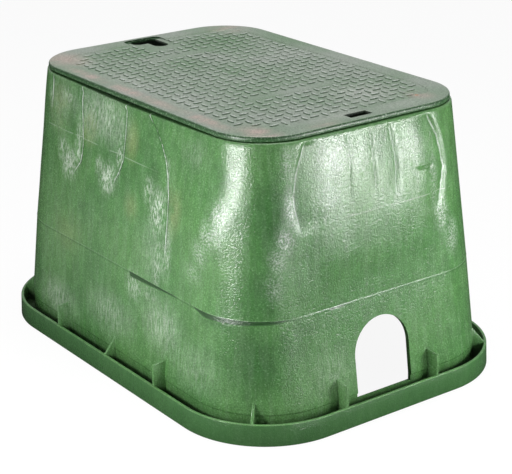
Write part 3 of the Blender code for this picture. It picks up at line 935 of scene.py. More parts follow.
# %% Pipe holes
PIPE_HOLE_WIDTH = 0.0735
PIPE_HOLE_SPRING = 0.0655
PIPE_HOLE_SILL = 0.020
PIPE_HOLE_INWARD = 0.035
ARCH_FACETS = 96


def model_hole_cutter(sign):
    reach = FOOT[0] / 2 + CHANNEL / 2
    inner = STEP[0] / 2 - PIPE_HOLE_INWARD
    cutter = add_solid("hole", bpy.ops.mesh.primitive_cylinder_add, vertices=ARCH_FACETS,
                       radius=PIPE_HOLE_WIDTH / 2, depth=reach - inner,
                       location=(sign * (reach + inner) / 2, 0, PIPE_HOLE_SPRING),
                       rotation=(0, math.radians(90), 0))
    edit(cutter)
    draw_out_half(cutter, 2, PIPE_HOLE_SPRING, PIPE_HOLE_SILL)
    outward_normals(cutter)
    leave_edit()
    return cutter


for end in (-1, 1):
    apply_boolean(body, model_hole_cutter(end))
print("body with gussets and holes:", len(body.data.polygons), "faces")

# %% [markdown]
# ## The lid's blank
#
# The lid starts as a solid block of the right outline: a skirt that drops into the body, a flange that
# lies on it, a plain border, and a field that lies a little lower for the tread. The flange's upper
# edge is well rounded by years of feet, so that edge gets five rings. The loops are bridged as before.

# %% Lid rings
LID = (0.434, 0.294, 0.062)
FIELD_RECESS = 0.0010
BAR_HEIGHT = 0.0013
LID_TOP = lid_high.z - BAR_HEIGHT + FIELD_RECESS
LID_UNDER = BODY_HEIGHT + 0.0003
LID_ROUND = 0.0024
LID_FOOT_ROUND = 0.0008
SKIRT_DEPTH = 0.014
SKIRT = grow(TOP, -SEAT_WIDTH - 0.002)
SKIRT_WALL = 0.0035
SKIRT_DRAFT = 0.0008
FIELD = (0.381, 0.248, 0.0355)
FIELD_SLOPE = 0.0012
FIELD_FLOOR = LID_TOP - FIELD_RECESS
LID_STEPS = 18
LID_CUTS = (48, 32)


def lid_rings():
    rings = [
        (grow(SKIRT, -SKIRT_DRAFT), LID_UNDER - SKIRT_DEPTH, 0),
        (SKIRT, LID_UNDER, 0),
        (grow(LID, -LID_FOOT_ROUND), LID_UNDER, 0),
        (grow(LID, -LID_FOOT_ROUND * 0.25), LID_UNDER + LID_FOOT_ROUND * 0.3, 0),
        (LID, LID_UNDER + LID_FOOT_ROUND, 0),
    ]
    for step in range(5):
        angle = math.radians(90) * step / 4
        rings.append((grow(LID, LID_ROUND * (math.cos(angle) - 1)),
                      LID_TOP - LID_ROUND * (1 - math.sin(angle)), 0))
    for step in range(1, 5):
        rings.append((between(grow(LID, -LID_ROUND), grow(FIELD, FIELD_SLOPE), step / 4), LID_TOP, 0))
    rings.append((grow(FIELD, FIELD_SLOPE * 0.5), LID_TOP - FIELD_RECESS * 0.35, 0))
    rings.append((FIELD, FIELD_FLOOR, 0))
    return rings


def build_lid_blank():
    blank = new_mesh_object("lid_moulding")
    edit(blank)
    rings = lid_rings()
    skin_loops(blank, rings, LID_STEPS, LID_CUTS)
    fill_loop(blank, rings[0])
    leave_edit()
    return blank


lid = build_lid_blank()
print("lid blank:", len(lid.data.polygons), "faces")

# %% [markdown]
# ## The tread
#
# The tread is a chequer of short raised bars that lie one way and the other in turn. A block of two by
# two cells repeats all over, so only that block is modelled: a square of edges for each cell, a lens
# of edges inside it, a bridge between them, and the lens drawn up into a rounded bar. Two arrays
# repeat the block, and the cells that would not fit the field are deleted.

# %% Tread block
PITCH = 0.0128
BAR_LENGTH = 0.0115
BAR_WIDTH = 0.0038
BAR_POINTS = 12
BAR_LEVELS = [(0.0, 1.0, 1.0), (0.5, 0.95, 0.80), (0.88, 0.86, 0.52), (1.0, 0.74, 0.26)]


def add_tread_cell(item, x, y, along_x):
    bpy.ops.mesh.select_mode(type="VERT")
    bpy.ops.mesh.primitive_plane_add(size=PITCH, location=(x, y, FIELD_FLOOR))
    bpy.ops.mesh.delete(type="ONLY_FACE")

    def in_cell(edge):
        return edge.is_wire and all(abs(v.co.x - x) < PITCH * 0.51 and abs(v.co.y - y) < PITCH * 0.51
                                    for v in edge.verts)
    select_where(item, in_cell, "EDGE")
    bpy.ops.mesh.subdivide(number_cuts=BAR_POINTS // 4 - 1)
    long_way, wide_way = (BAR_LENGTH, BAR_WIDTH) if along_x else (BAR_WIDTH, BAR_LENGTH)
    bpy.ops.mesh.select_mode(type="VERT")
    bpy.ops.mesh.primitive_circle_add(vertices=BAR_POINTS, radius=0.5, location=(x, y, FIELD_FLOOR + LIFT),
                                      rotation=(0, 0, math.pi / 4))
    bpy.ops.transform.resize(value=(long_way, wide_way, 1))
    select_where(item, in_cell, "EDGE")
    bpy.ops.mesh.bridge_edge_loops()
    for low, high in zip(BAR_LEVELS, BAR_LEVELS[1:] + [None]):
        select_where(item, lambda v: v.co.z > FIELD_FLOOR + LIFT + low[0] * BAR_HEIGHT - TINY)
        if not high:
            bpy.ops.mesh.edge_face_add()
            bpy.ops.mesh.poke()
            break
        bpy.ops.mesh.extrude_edges_move(
            TRANSFORM_OT_translate={"value": (0, 0, (high[0] - low[0]) * BAR_HEIGHT)})
        narrow = high[1] / low[1], high[2] / low[2]
        bpy.ops.transform.resize(value=(*(narrow if along_x else narrow[::-1]), 1))
    select_where(item, lambda v: v.co.z > FIELD_FLOOR + LIFT - TINY)
    bpy.ops.transform.translate(value=(0, 0, -LIFT))


def build_tread_block(first_column, first_row):
    block = new_mesh_object("tread")
    edit(block)
    for column in (first_column, first_column + 1):
        for row in (first_row, first_row + 1):
            add_tread_cell(block, column * PITCH, row * PITCH, (column + row) % 2 == 0)
    bpy.ops.mesh.select_all(action="SELECT")
    bpy.ops.mesh.remove_doubles(threshold=TINY)
    leave_edit()
    return block


def repeat(item, count, step):
    pick(item)
    array = item.modifiers.new("repeat", "ARRAY")
    array.count = count
    array.use_relative_offset = False
    array.use_constant_offset = True
    array.constant_offset_displace = step
    array.use_merge_vertices = True
    array.merge_threshold = TINY
    bpy.ops.object.modifier_apply(modifier=array.name)


FIRST_COLUMN, FIRST_ROW = -16, -12
tread = build_tread_block(FIRST_COLUMN, FIRST_ROW)
block_faces = len(tread.data.polygons)
repeat(tread, -FIRST_COLUMN, (2 * PITCH, 0, 0))
repeat(tread, -FIRST_ROW, (0, 2 * PITCH, 0))
print("tread block:", block_faces, "faces; repeated:", len(tread.data.polygons))

# %% Cells that fit the field
TREAD_MARGIN = 0.0012
POCKET_END = -LID[0] / 2 + 0.009
POCKET_LENGTH = 0.048
POCKET_WIDTH = 0.036
PLATES = [(7, 4), (-9, 3)]
PLATE_HEIGHT = 0.0007
PLATE_SLOPE = 0.0010


def cell_fits(column, row):
    """True where all of a cell lies in the field, clear of the pocket and the two plain plates."""
    x, y, half = column * PITCH, row * PITCH, PITCH / 2
    inside = all(outline_distance(x + i * half, y + j * half, grow(FIELD, -TREAD_MARGIN)) <= 0
                 for i in (-1, 1) for j in (-1, 1))
    by_pocket = (abs(y) < POCKET_WIDTH / 2 + TREAD_MARGIN + half
                 and x < POCKET_END + POCKET_LENGTH + TREAD_MARGIN + half)
    on_plate = any(column == place and abs(row) <= rows for place, rows in PLATES)
    return inside and not by_pocket and not on_plate


def is_spare(face):
    middle = face.calc_center_median()
    return not cell_fits(round(middle.x / PITCH), round(middle.y / PITCH))


edit(tread)
select_where(tread, is_spare, "FACE")
bpy.ops.mesh.delete(type="FACE")
leave_edit()
print("tread on the field:", len(tread.data.polygons), "faces")

# %% [markdown]
# ## Plain plates and the field's floor
#
# Two bare raised plates interrupt the tread. Each is a plane that is inset and raised, so its sides
# slope. The gaps between the tread, the plates and the edge of the field are then closed by one fill,
# which reads nested loops as edge, hole and island.

# %% Plates and floor
def add_plate(item, column, rows):
    """A plane with rounded corners that is raised in two steps, each a little smaller."""
    reach_x = PITCH - 2 * PLATE_SLOPE
    reach_y = (2 * rows + 1) * PITCH - 2 * PLATE_SLOPE
    bpy.ops.mesh.select_mode(type="VERT")
    bpy.ops.mesh.primitive_plane_add(size=1, location=(column * PITCH, 0, FIELD_FLOOR))
    bpy.ops.transform.resize(value=(reach_x, reach_y, 1))
    bpy.ops.mesh.bevel(offset=0.0015, segments=3, affect="VERTICES")
    bpy.ops.mesh.select_mode(type="FACE")
    for share in (0.7, 0.3):
        extrude((0, 0, PLATE_HEIGHT * share))
        bpy.ops.transform.resize(value=(1 - PLATE_SLOPE / reach_x, 1 - PLATE_SLOPE / reach_y, 1))


join_all([lid, tread])
edit(lid)
for place, rows in PLATES:
    add_plate(lid, place, rows)
select_where(lid, lambda e: len(e.link_faces) < 2
             and all(abs(v.co.z - FIELD_FLOOR) < TINY for v in e.verts), "EDGE")
bpy.ops.mesh.fill(use_beauty=True)
bpy.ops.mesh.select_all(action="SELECT")
bpy.ops.mesh.remove_doubles(threshold=TINY / 2)
outward_normals(lid)
leave_edit()
print("lid with tread:", len(lid.data.polygons), "faces")

# %% [markdown]
# ## The lid's underside, hand pocket and pry slot
#
# Under the plate the lid is hollow between crossing ribs, which keeps a thin plate stiff. The hollow is
# one block less the ribs and less the cup of the hand pocket, so it is made that way and cut out once.
# The pocket is a shallow round-ended step with a hooked opening in it, made of two slots that meet.
# The pry slot goes right through.

# %% Hollow underside
PLATE_THICKNESS = 0.0045
RIB_THICKNESS = 0.003
CROSS_RIB_SPACING = 0.070
LONG_RIB_SPACING = 0.055
POCKET_DEPTH = 0.010
POCKET_CUP_WALL = 0.0025
CUP_CORNER = 0.0065
RIB_REACH = (0.3, 0.2)
CLEAR = 0.01
ROUND_FACETS = 64


def model_hollow():
    hollow = new_mesh_object("hollow")
    edit(hollow)
    steps, cuts = 6, (1, 1)
    rings = [(grow(SKIRT, -SKIRT_WALL - SKIRT_DRAFT), LID_UNDER - SKIRT_DEPTH - CLEAR, 0),
             (grow(SKIRT, -SKIRT_WALL), LID_TOP - PLATE_THICKNESS, 0)]
    skin_loops(hollow, rings, steps, cuts)
    for ring in rings:
        fill_loop(hollow, ring)
    outward_normals(hollow)
    leave_edit()
    return hollow


def cut_ribs(hollow):
    """Leave the ribs standing: what is cut out of the hollow stays solid in the lid."""
    low, high = LID_UNDER - SKIRT_DEPTH - 2 * CLEAR, LID_TOP
    reach_x, reach_y = RIB_REACH
    half = RIB_THICKNESS / 2
    for number in range(-2, 3):
        x = number * CROSS_RIB_SPACING
        apply_boolean(hollow, add_box("rib", (x - half, -reach_y, low), (x + half, reach_y, high)))
    for number in (-1.5, -0.5, 0.5, 1.5):
        y = number * LONG_RIB_SPACING
        apply_boolean(hollow, add_box("rib", (-reach_x, y - half, low), (reach_x, y + half, high)))


def model_round_end(name, flat_x, round_x, width, low, high, corner):
    """A block with a half-round end: a cylinder halved, and its cut face drawn out to the flat end."""
    radius = width / 2
    block = add_solid(name, bpy.ops.mesh.primitive_cylinder_add, vertices=ROUND_FACETS, radius=radius,
                      depth=high - low, location=(round_x - radius, 0, (low + high) / 2))
    edit(block)
    draw_out_half(block, 0, round_x - radius, flat_x)
    select_where(block, lambda e: all(v.co.x < flat_x + TINY for v in e.verts)
                 and abs(e.verts[0].co.z - e.verts[1].co.z) > TINY, "EDGE")
    bpy.ops.mesh.bevel(offset=corner, segments=6, affect="EDGES")
    outward_normals(block)
    leave_edit()
    return block


hollow = model_hollow()
cut_ribs(hollow)
cup = model_round_end("cup", POCKET_END - POCKET_CUP_WALL, POCKET_END + POCKET_LENGTH + POCKET_CUP_WALL,
                      POCKET_WIDTH + 2 * POCKET_CUP_WALL, LID_TOP - POCKET_DEPTH - POCKET_CUP_WALL, LID_TOP,
                      CUP_CORNER)
apply_boolean(hollow, cup)
apply_boolean(lid, hollow)
print("hollowed lid:", len(lid.data.polygons), "faces")

# %% Pocket and slot
PAD_DEPTH = 0.0016
PAD_MARGIN = 0.007
PAD_END_MARGIN = 0.002
PAD_CORNER = 0.008
GRIP_RADIUS = 0.0093
GRIP_REACH = 0.022
SLOT_X = (0.1953, 0.2078)
SLOT_LENGTH = 0.0284


def model_grip(name, first, last):
    """A slot with round ends: a cylinder, and the half that looks ahead is moved to the far end."""
    low, high = LID_TOP - POCKET_DEPTH, LID_TOP + CLEAR
    start, move = Vector((*first, (low + high) / 2)), Vector((last[0] - first[0], last[1] - first[1], 0))
    grip = add_solid(name, bpy.ops.mesh.primitive_cylinder_add, vertices=ROUND_FACETS, radius=GRIP_RADIUS,
                     depth=high - low, location=start)
    edit(grip)
    select_where(grip, lambda v: (v.co - start).dot(move) > TINY * move.length)
    bpy.ops.transform.translate(value=move)
    leave_edit()
    return grip


pad = model_round_end("pad", POCKET_END - PAD_END_MARGIN, POCKET_END + POCKET_LENGTH,
                      POCKET_WIDTH + 2 * PAD_MARGIN, LID_TOP - PAD_DEPTH, LID_TOP + CLEAR, PAD_CORNER)
apply_boolean(lid, pad)
grip_x, grip_y = POCKET_END + GRIP_RADIUS, POCKET_WIDTH / 2 - GRIP_RADIUS
apply_boolean(lid, model_grip("grip_across", (grip_x, -grip_y), (grip_x, grip_y)))
apply_boolean(lid, model_grip("grip_inward", (grip_x, grip_y), (grip_x + GRIP_REACH, grip_y)))
slot = add_box("slot", (SLOT_X[0], -SLOT_LENGTH / 2, LID_UNDER - SKIRT_DEPTH - CLEAR),
               (SLOT_X[1], SLOT_LENGTH / 2, LID_TOP + CLEAR))
apply_boolean(lid, slot)
print("lid with pocket and slot:", len(lid.data.polygons), "faces")

# %% [markdown]
# ## Smooth shading
#
# Curved walls should look round although they are flat facets, and real edges should stay crisp.
# Shading smooth by angle does both: facets that meet at a small angle are blended.

# %% Shade both mouldings
def shade(item, degrees):
    pick(item)
    bpy.ops.object.shade_smooth_by_angle(angle=math.radians(degrees))


shade(body, 38)
shade(lid, 42)
print("smooth shading done")

# %% [markdown]
# ## Where the wear and the painted light lie
#
# Wear is not spread evenly: it lies where feet and tools reach, and where the plastic was strained. On
# the body the same spots also place painted shade, painted highlights and lit patches on the flutes and
# the corner. The places are given as soft spots, each with a middle, a size and a strength, and stored on
# the mesh as an attribute that the finishes read. Noise in the finish then breaks up their outlines.

# %% Spots of wear and painted light
def store(item, name, values):
    stored = item.data.attributes.new(name, "FLOAT", "POINT")
    stored.data.foreach_set("value", values)


def paint(item, name, spots):
    """Store the strongest of several soft spots on each vertex."""
    points = mesh_points(item) / MM
    value = np.zeros(len(points))
    for x, y, z, *reach, strength in spots:
        distance = np.linalg.norm((points - (x, y, z)) / np.array(reach), axis=1)
        value = np.maximum(value, strength * smooth(1 - distance))
    store(item, name, value)


# Each spot: its middle (x, y, z), its reach in the same three directions, all in mm, and its strength.
BODY_MARKS_AND_PAINTED_LIGHT = {
    "gouged": [
        (229, 67, 247.5, 20, 14, 3.4, 1.0), (229, 75, 246, 20, 8, 4.6, 1.0),
    ],
    # Painted highlight: pale hatched glints at the foot of each flute.
    "hatch_highlight": [
        (-112, -160, 212, 24, 40, 28, 1.2), (-96, -155, 236, 10, 40, 44, 0.9),
        (-128, -160, 226, 14, 40, 24, 1.0), (-30, -160, 214, 24, 40, 26, 1.3),
        (-10, -155, 244, 9, 40, 40, 0.9), (-48, -160, 224, 12, 40, 18, 0.8),
        (70, -162, 204, 20, 40, 36, 1.3), (84, -158, 240, 8, 40, 40, 0.9),
        (52, -160, 222, 14, 40, 22, 0.9), (92, -166, 170, 14, 40, 50, 0.8),
        (-122, -153, 284, 22, 40, 20, 0.6), (76, -168, 150, 12, 40, 50, 0.7),
        (34, -170, 112, 24, 40, 26, 0.7), (64, -172, 112, 30, 40, 12, 0.5),
        (-160, -150, 280, 5, 40, 24, 0.9),
    ],
    # A yellow tint, and painted light on the lit side of each flute.
    "yellowed_and_lit": [
        (-74, -152, 262, 26, 40, 30, 1.0), (14, -152, 266, 20, 40, 32, 0.9),
        (-140, -152, 270, 34, 40, 40, 0.7), (100, -160, 214, 22, 40, 40, 1.0),
        (20, -160, 196, 20, 40, 24, 0.6), (-110, -166, 130, 50, 40, 40, 0.4),
    ],
    # Painted shade: the dark side of each flute, the band under the step line and the bright corner toned
    # down.
    "painted_shade": [
        (-112, -152, 262, 18, 40, 36, 0.9), (-26, -152, 256, 20, 40, 40, 0.9),
        (56, -156, 240, 20, 40, 36, 0.8), (120, -156, 270, 34, 40, 34, 0.5),
        (240, -90, 114, 30, 60, 10, 0.6), (180, -170, 116, 60, 40, 8, 0.8),
        (225, 12, 280, 20, 14, 34, 0.8), (225, 62, 286, 20, 18, 24, 0.8),
        (216, -119, 224, 36, 36, 84, 1.3), (222, -138, 150, 40, 40, 70, 1.0),
        (224, -145, 84, 62, 62, 62, 1.2),
    ],
    # Painted highlight: pale speckled bands where the lamps shine on the corner and the end wall.
    "painted_highlight": [
        (188, -146, 268, 13, 13, 44, 0.5), (176, -154, 226, 16, 26, 26, 0.75),
        (166, -159, 206, 18, 26, 24, 0.9), (154, -163, 184, 20, 26, 24, 0.6),
        (142, -166, 160, 22, 26, 20, 0.35), (220, -105, 284, 20, 8, 26, 0.5),
        (225, -104, 236, 20, 10, 34, 0.8), (226, -112, 206, 20, 14, 20, 0.9),
        (224, -121, 187, 20, 14, 20, 0.6), (226, -126, 160, 20, 14, 26, 0.4),
        (224, -50, 282, 20, 40, 32, 0.9), (224, -16, 276, 20, 16, 26, 0.5),
        (226, 50, 276, 20, 22, 26, 0.5), (230, 82, 232, 20, 9, 50, 0.6),
        (231, 92, 192, 20, 15, 26, 0.9), (232, 108, 164, 20, 16, 30, 0.7),
        (224, -56, 244, 20, 30, 30, 0.5),
    ],
    "dusty": [
        (-50, -154, 280, 80, 40, 44, 1.0), (-140, -154, 276, 40, 40, 50, 0.4),
        (90, -174, 84, 56, 40, 44, 0.75), (-124, -177, 46, 60, 40, 34, 0.75),
        (-10, -175, 66, 70, 40, 36, 0.6), (60, -168, 160, 30, 40, 50, 0.4),
        (248, -66, 62, 30, 50, 46, 0.35), (150, -176, 60, 60, 40, 40, 0.4),
        (130, -150, 280, 34, 40, 24, 0.3),
    ],
}
# The same for the lid, where height and upright reach are shared: (x, y, reach x, reach y, strength).
LID_SPOT_HEIGHT = 311
LID_SPOT_REACH = 9
LID_WEAR = {
    "worn": [
        (-180, -120, 50, 36, 0.8), (0, -136, 120, 12, 1.0), (120, -134, 70, 13, 1.0),
        (190, -116, 40, 26, 1.0), (206, -50, 16, 30, 0.6), (-190, 115, 40, 36, 0.6),
        (-100, -136, 70, 12, 0.9), (186, 98, 26, 20, 0.7),
    ],
    "bleached": [
        (140, 60, 50, 60, 1.0), (190, -20, 30, 60, 0.6), (-60, -110, 80, 30, 0.9),
        (60, -110, 70, 26, 0.6), (200, 60, 20, 60, 0.6), (-150, -110, 50, 26, 0.6),
    ],
    "fresh": [
        (-140, 70, 70, 90, 1.0), (-160, -40, 50, 60, 0.9), (-15, 0, 40, 20, 0.8),
        (-100, 140, 110, 40, 0.8), (120, -60, 60, 30, 0.4), (-80, -20, 60, 50, 0.8),
    ],
}
for name, spots in BODY_MARKS_AND_PAINTED_LIGHT.items():
    paint(body, name, spots)
for name, spots in LID_WEAR.items():
    paint(lid, name, [(x, y, LID_SPOT_HEIGHT, reach_x, reach_y, LID_SPOT_REACH, strength)
                      for x, y, reach_x, reach_y, strength in spots])
print("wear spots:", sum(map(len, BODY_MARKS_AND_PAINTED_LIGHT.values())), "on the body,",
      sum(map(len, LID_WEAR.values())), "on the lid")


# %% [markdown]
# ## Distances for the finish
#
# Some marks are sharper than the mesh: the painted highlight and shade along the fold in each crease,
# the edge of the lid, the painted shade in the channel. For these the mesh stores a plain distance, which
# blends exactly from vertex to vertex, and the finish draws the sharp mark from it.

# %% Distances
FAR = 60.0


def store_folds(item):
    """For each fold its distance along the wall, and for each wall where its folds may show."""
    points = mesh_points(item)
    height = points[:, 2] / MM
    for turns, along, angle, own in each_wall(points):
        own = own & (np.abs(angle) < math.radians(44))
        shown = below_top(height) * smooth((height - STEP_HEIGHT / MM - DENT_START) / FOLD_RISE)
        store(item, f"wall_{turns}", np.where(own, shown, 0))
        for number, (line, *_) in enumerate(WALL_CREASES[turns]):
            offset = np.clip(along - line_at(height, line), -FAR, FAR)
            store(item, f"fold_{turns}_{number}", np.where(own, offset, np.sign(along) * FAR))


def store_tucks(item):
    points = mesh_points(item)
    value = np.zeros(len(points))
    for turns, along, angle, own in each_wall(points):
        if turns in TUCKS:
            value += np.where(own, -tuck_depth(points, along, points[:, 2] / MM, turns), 0)
    store(item, "tucked", value)


def store_lid_marks(item):
    """Where the plates are, which have no bars, and how deep inside the pocket or the slot a point lies."""
    points = mesh_points(item)
    bare = np.zeros(len(points))
    for column, rows in PLATES:
        near = np.abs(points[:, 0] - column * PITCH) < PITCH / 2 + TINY
        bare[near & (np.abs(points[:, 1]) < (rows + 0.5) * PITCH + TINY)] = 1
    inside = outline_reach(points, LID) < -3
    pocket = points[:, 0] < POCKET_END + POCKET_LENGTH + 0.001
    pocket &= np.abs(points[:, 1]) < POCKET_WIDTH / 2 + 0.002
    slot = (points[:, 0] > SLOT_X[0] - 0.001) & (np.abs(points[:, 1]) < SLOT_LENGTH / 2 + 0.001)
    drop = (LID_TOP - PAD_DEPTH - points[:, 2]) / 0.006
    store(item, "bare", bare)
    store(item, "deep", np.where(inside & (pocket | slot), np.clip(drop, 0, 1), 0))


store_folds(body)
store_tucks(body)
store(body, "from_foot", outline_reach(mesh_points(body), FOOT))
store(lid, "from_field", outline_reach(mesh_points(lid), FIELD))
store_lid_marks(lid)
print("folds:", sum(len(creases) for creases in WALL_CREASES))

# %% [markdown]
# ## Green polyethylene
#
# The plastic is dyed through, with a satin skin that came off a textured mould. Its colour wanders a
# little between yellow-green and blue-green, the skin has a fine grain that breaks up every highlight,
# and the flow of the melt left faint upright streaks. Each of these is one noise with its own size.
# The layers lie over that in the order of their tables: wear and dust, and also painted shade, painted
# highlights and lit patches. Then come the lines: a painted highlight and a painted shade along each fold,
# and a painted highlight on the step line with a painted shadow under it. Painted shade on the outer face
# of the rim, in the channel and in the tuck follows, and last the faint level lines of the mould.

# %% Folds in the finish
FOLD_REACH = 5.0
SHALLOW_FOLD = 0.3
SHALLOW_GAIN = 4
# Along each fold the pale line is a painted highlight and the dark line painted shade: offsets in mm.
FOLD_LINES = {"pale": (-1.1, 1.3), "dark": (-3.8, -1.0)}
SHALLOW_LINES = {"dark": (-1.5, 1.5)}


def folds(tree):
    """All folds: one height in mm, a sharp valley for each, and where a painted highlight and a painted
    shade run.
    """
    height = coordinate(tree, "Z")
    depths = 0.0
    shares = {"pale": 0.0, "dark": 0.0}
    for turns, creases in enumerate(WALL_CREASES):
        here = attribute(tree, f"wall_{turns}")
        for number, (points, *_, fade, fold) in enumerate(creases):
            offset = attribute(tree, f"fold_{turns}_{number}")
            foot = lowest(points)
            shown = times(tree, ramp(tree, height, foot * MM, (foot + fade) * MM, 0, fold), here)
            valley = ramp(tree, math_node(tree, "ABSOLUTE", offset), 0, FOLD_REACH, 1, 0, "LINEAR")
            valley = times(tree, math_node(tree, "POWER", valley, 2), shown)
            depths = math_node(tree, "SUBTRACT", depths, valley)
            lines, gain = (SHALLOW_LINES, SHALLOW_GAIN) if fold < SHALLOW_FOLD else (FOLD_LINES, 1)
            for line, (low, high) in lines.items():
                middle, half = (low + high) / 2, (high - low) / 2
                share = times(tree, band(tree, offset, middle, half * 0.4, half, gain), shown)
                shares[line] = math_node(tree, "MAXIMUM", shares[line], share)
    return depths, shares["pale"], shares["dark"]


# %% Layers of wear
def start_material(name, noises):
    """A new material with its graph, its shader and its noises by name."""
    material = bpy.data.materials.new(name)
    material.use_nodes = True
    tree = material.node_tree
    patterns = {name: noise(tree, **settings) for name, settings in noises.items()}
    return material, tree, tree.nodes["Principled BSDF"], patterns


def add_layers(tree, colour, patterns, layers):
    """Lay colours over one another. Each layer: attribute, noise that breaks it up, where that noise
    starts and ends letting it through, how strong it is there and there, and its colour."""
    for name, pattern, low, high, start, end, tone in layers:
        share = ramp(tree, patterns[pattern], low, high, start, end)
        if name:
            share = times(tree, attribute(tree, name), share)
        colour = mix(tree, share, colour, tone)
    return colour


# %% Body plastic
GREEN = (0.080, 0.200, 0.060)
GREEN_DEEP = (0.062, 0.172, 0.050)
# Painted shade, for the dark spots, the dark fold lines and the line under the step.
SHADE_GREEN = (0.040, 0.120, 0.034)
GREEN_YELLOW = (0.165, 0.240, 0.090)
# Painted shade in the tuck under the step line.
TUCK_SHADE = (0.010, 0.050, 0.009)
# Painted shade on the outer face of the rim.
RIM_SHADE = (0.036, 0.108, 0.034)
# Pale for streaks, dust, grain and mould lines, and also for painted highlights: hatched glints, step line.
PALE_MARK_AND_GLINT = (0.42, 0.50, 0.40)
# Painted highlight, for the speckled bands and the pale fold lines.
HIGHLIGHT_PALE = (0.72, 0.76, 0.72)
# Painted shade in the channel at the foot.
CHANNEL_SHADE = (0.012, 0.020, 0.010)
BODY_NOISES = {
    "blotch": dict(scale=11, detail=3),
    "patch": dict(scale=34, detail=4, rough=0.6),
    "mottle": dict(scale=1, detail=4, stretch=(90, 90, 55), rough=0.65, lean=30),
    "grain": dict(scale=620, detail=2, rough=0.6),
    "coarse": dict(scale=480, detail=3, rough=0.6),
    "hairs": dict(scale=1, detail=2, stretch=(620, 620, 70), rough=0.6),
    "streak": dict(scale=1, detail=3, stretch=(170, 170, 7)),
    "hatch": dict(scale=1, detail=3, stretch=(760, 760, 130), rough=0.6, lean=24),
    "ripple": dict(scale=60, detail=2, stretch=(1, 1, 0.5)),
}
BODY_LAYERS = [
    # Painted shade on the dark side of the flutes and on the corner.
    ("painted_shade", "patch", 0.30, 0.60, 0.50, 0.90, SHADE_GREEN),
    # Yellow tint and painted light on the lit side of each flute.
    ("yellowed_and_lit", "patch", 0.34, 0.56, 0.20, 1.00, GREEN_YELLOW),
    (None, "streak", 0.35, 0.75, 0.00, 0.07, PALE_MARK_AND_GLINT),
    # Painted highlight: hatched glints at the foot of the flutes.
    ("hatch_highlight", "hatch", 0.46, 0.58, 0.06, 1.00, PALE_MARK_AND_GLINT),
    # Painted highlight: speckled shine on the corner and the end wall.
    ("painted_highlight", "coarse", 0.40, 0.68, 0.05, 0.75, HIGHLIGHT_PALE),
    ("dusty", "hairs", 0.30, 0.72, 0.10, 0.85, PALE_MARK_AND_GLINT),
]
# Painted highlight on the step line and painted shadow just under it: height in m, half width of the
# whole and of the fading line, strength, colour.
STEP_GLINT_AND_SHADE = [(STEP_HEIGHT, 0.0002, 0.0006, 0.12, PALE_MARK_AND_GLINT),
              (STEP_HEIGHT - 0.0017, 0.0004, 0.0011, 0.5, SHADE_GREEN)]
SALT_LAYER = [(None, "grain", 0.60, 0.74, 0.0, 0.14, PALE_MARK_AND_GLINT)]
# Faint level lines that the mould left: on which wall, at what height and how strong, and along which
# axis they fade out, from where to where.
WITNESS_LINES = [(0, 0.246, 0.30, "X", 0.08, 0.02), (1, 0.2175, 0.36, "Y", -0.055, -0.03)]
WITNESS_WIDTH = (0.0003, 0.0009)
BODY_SHINE = 0.7


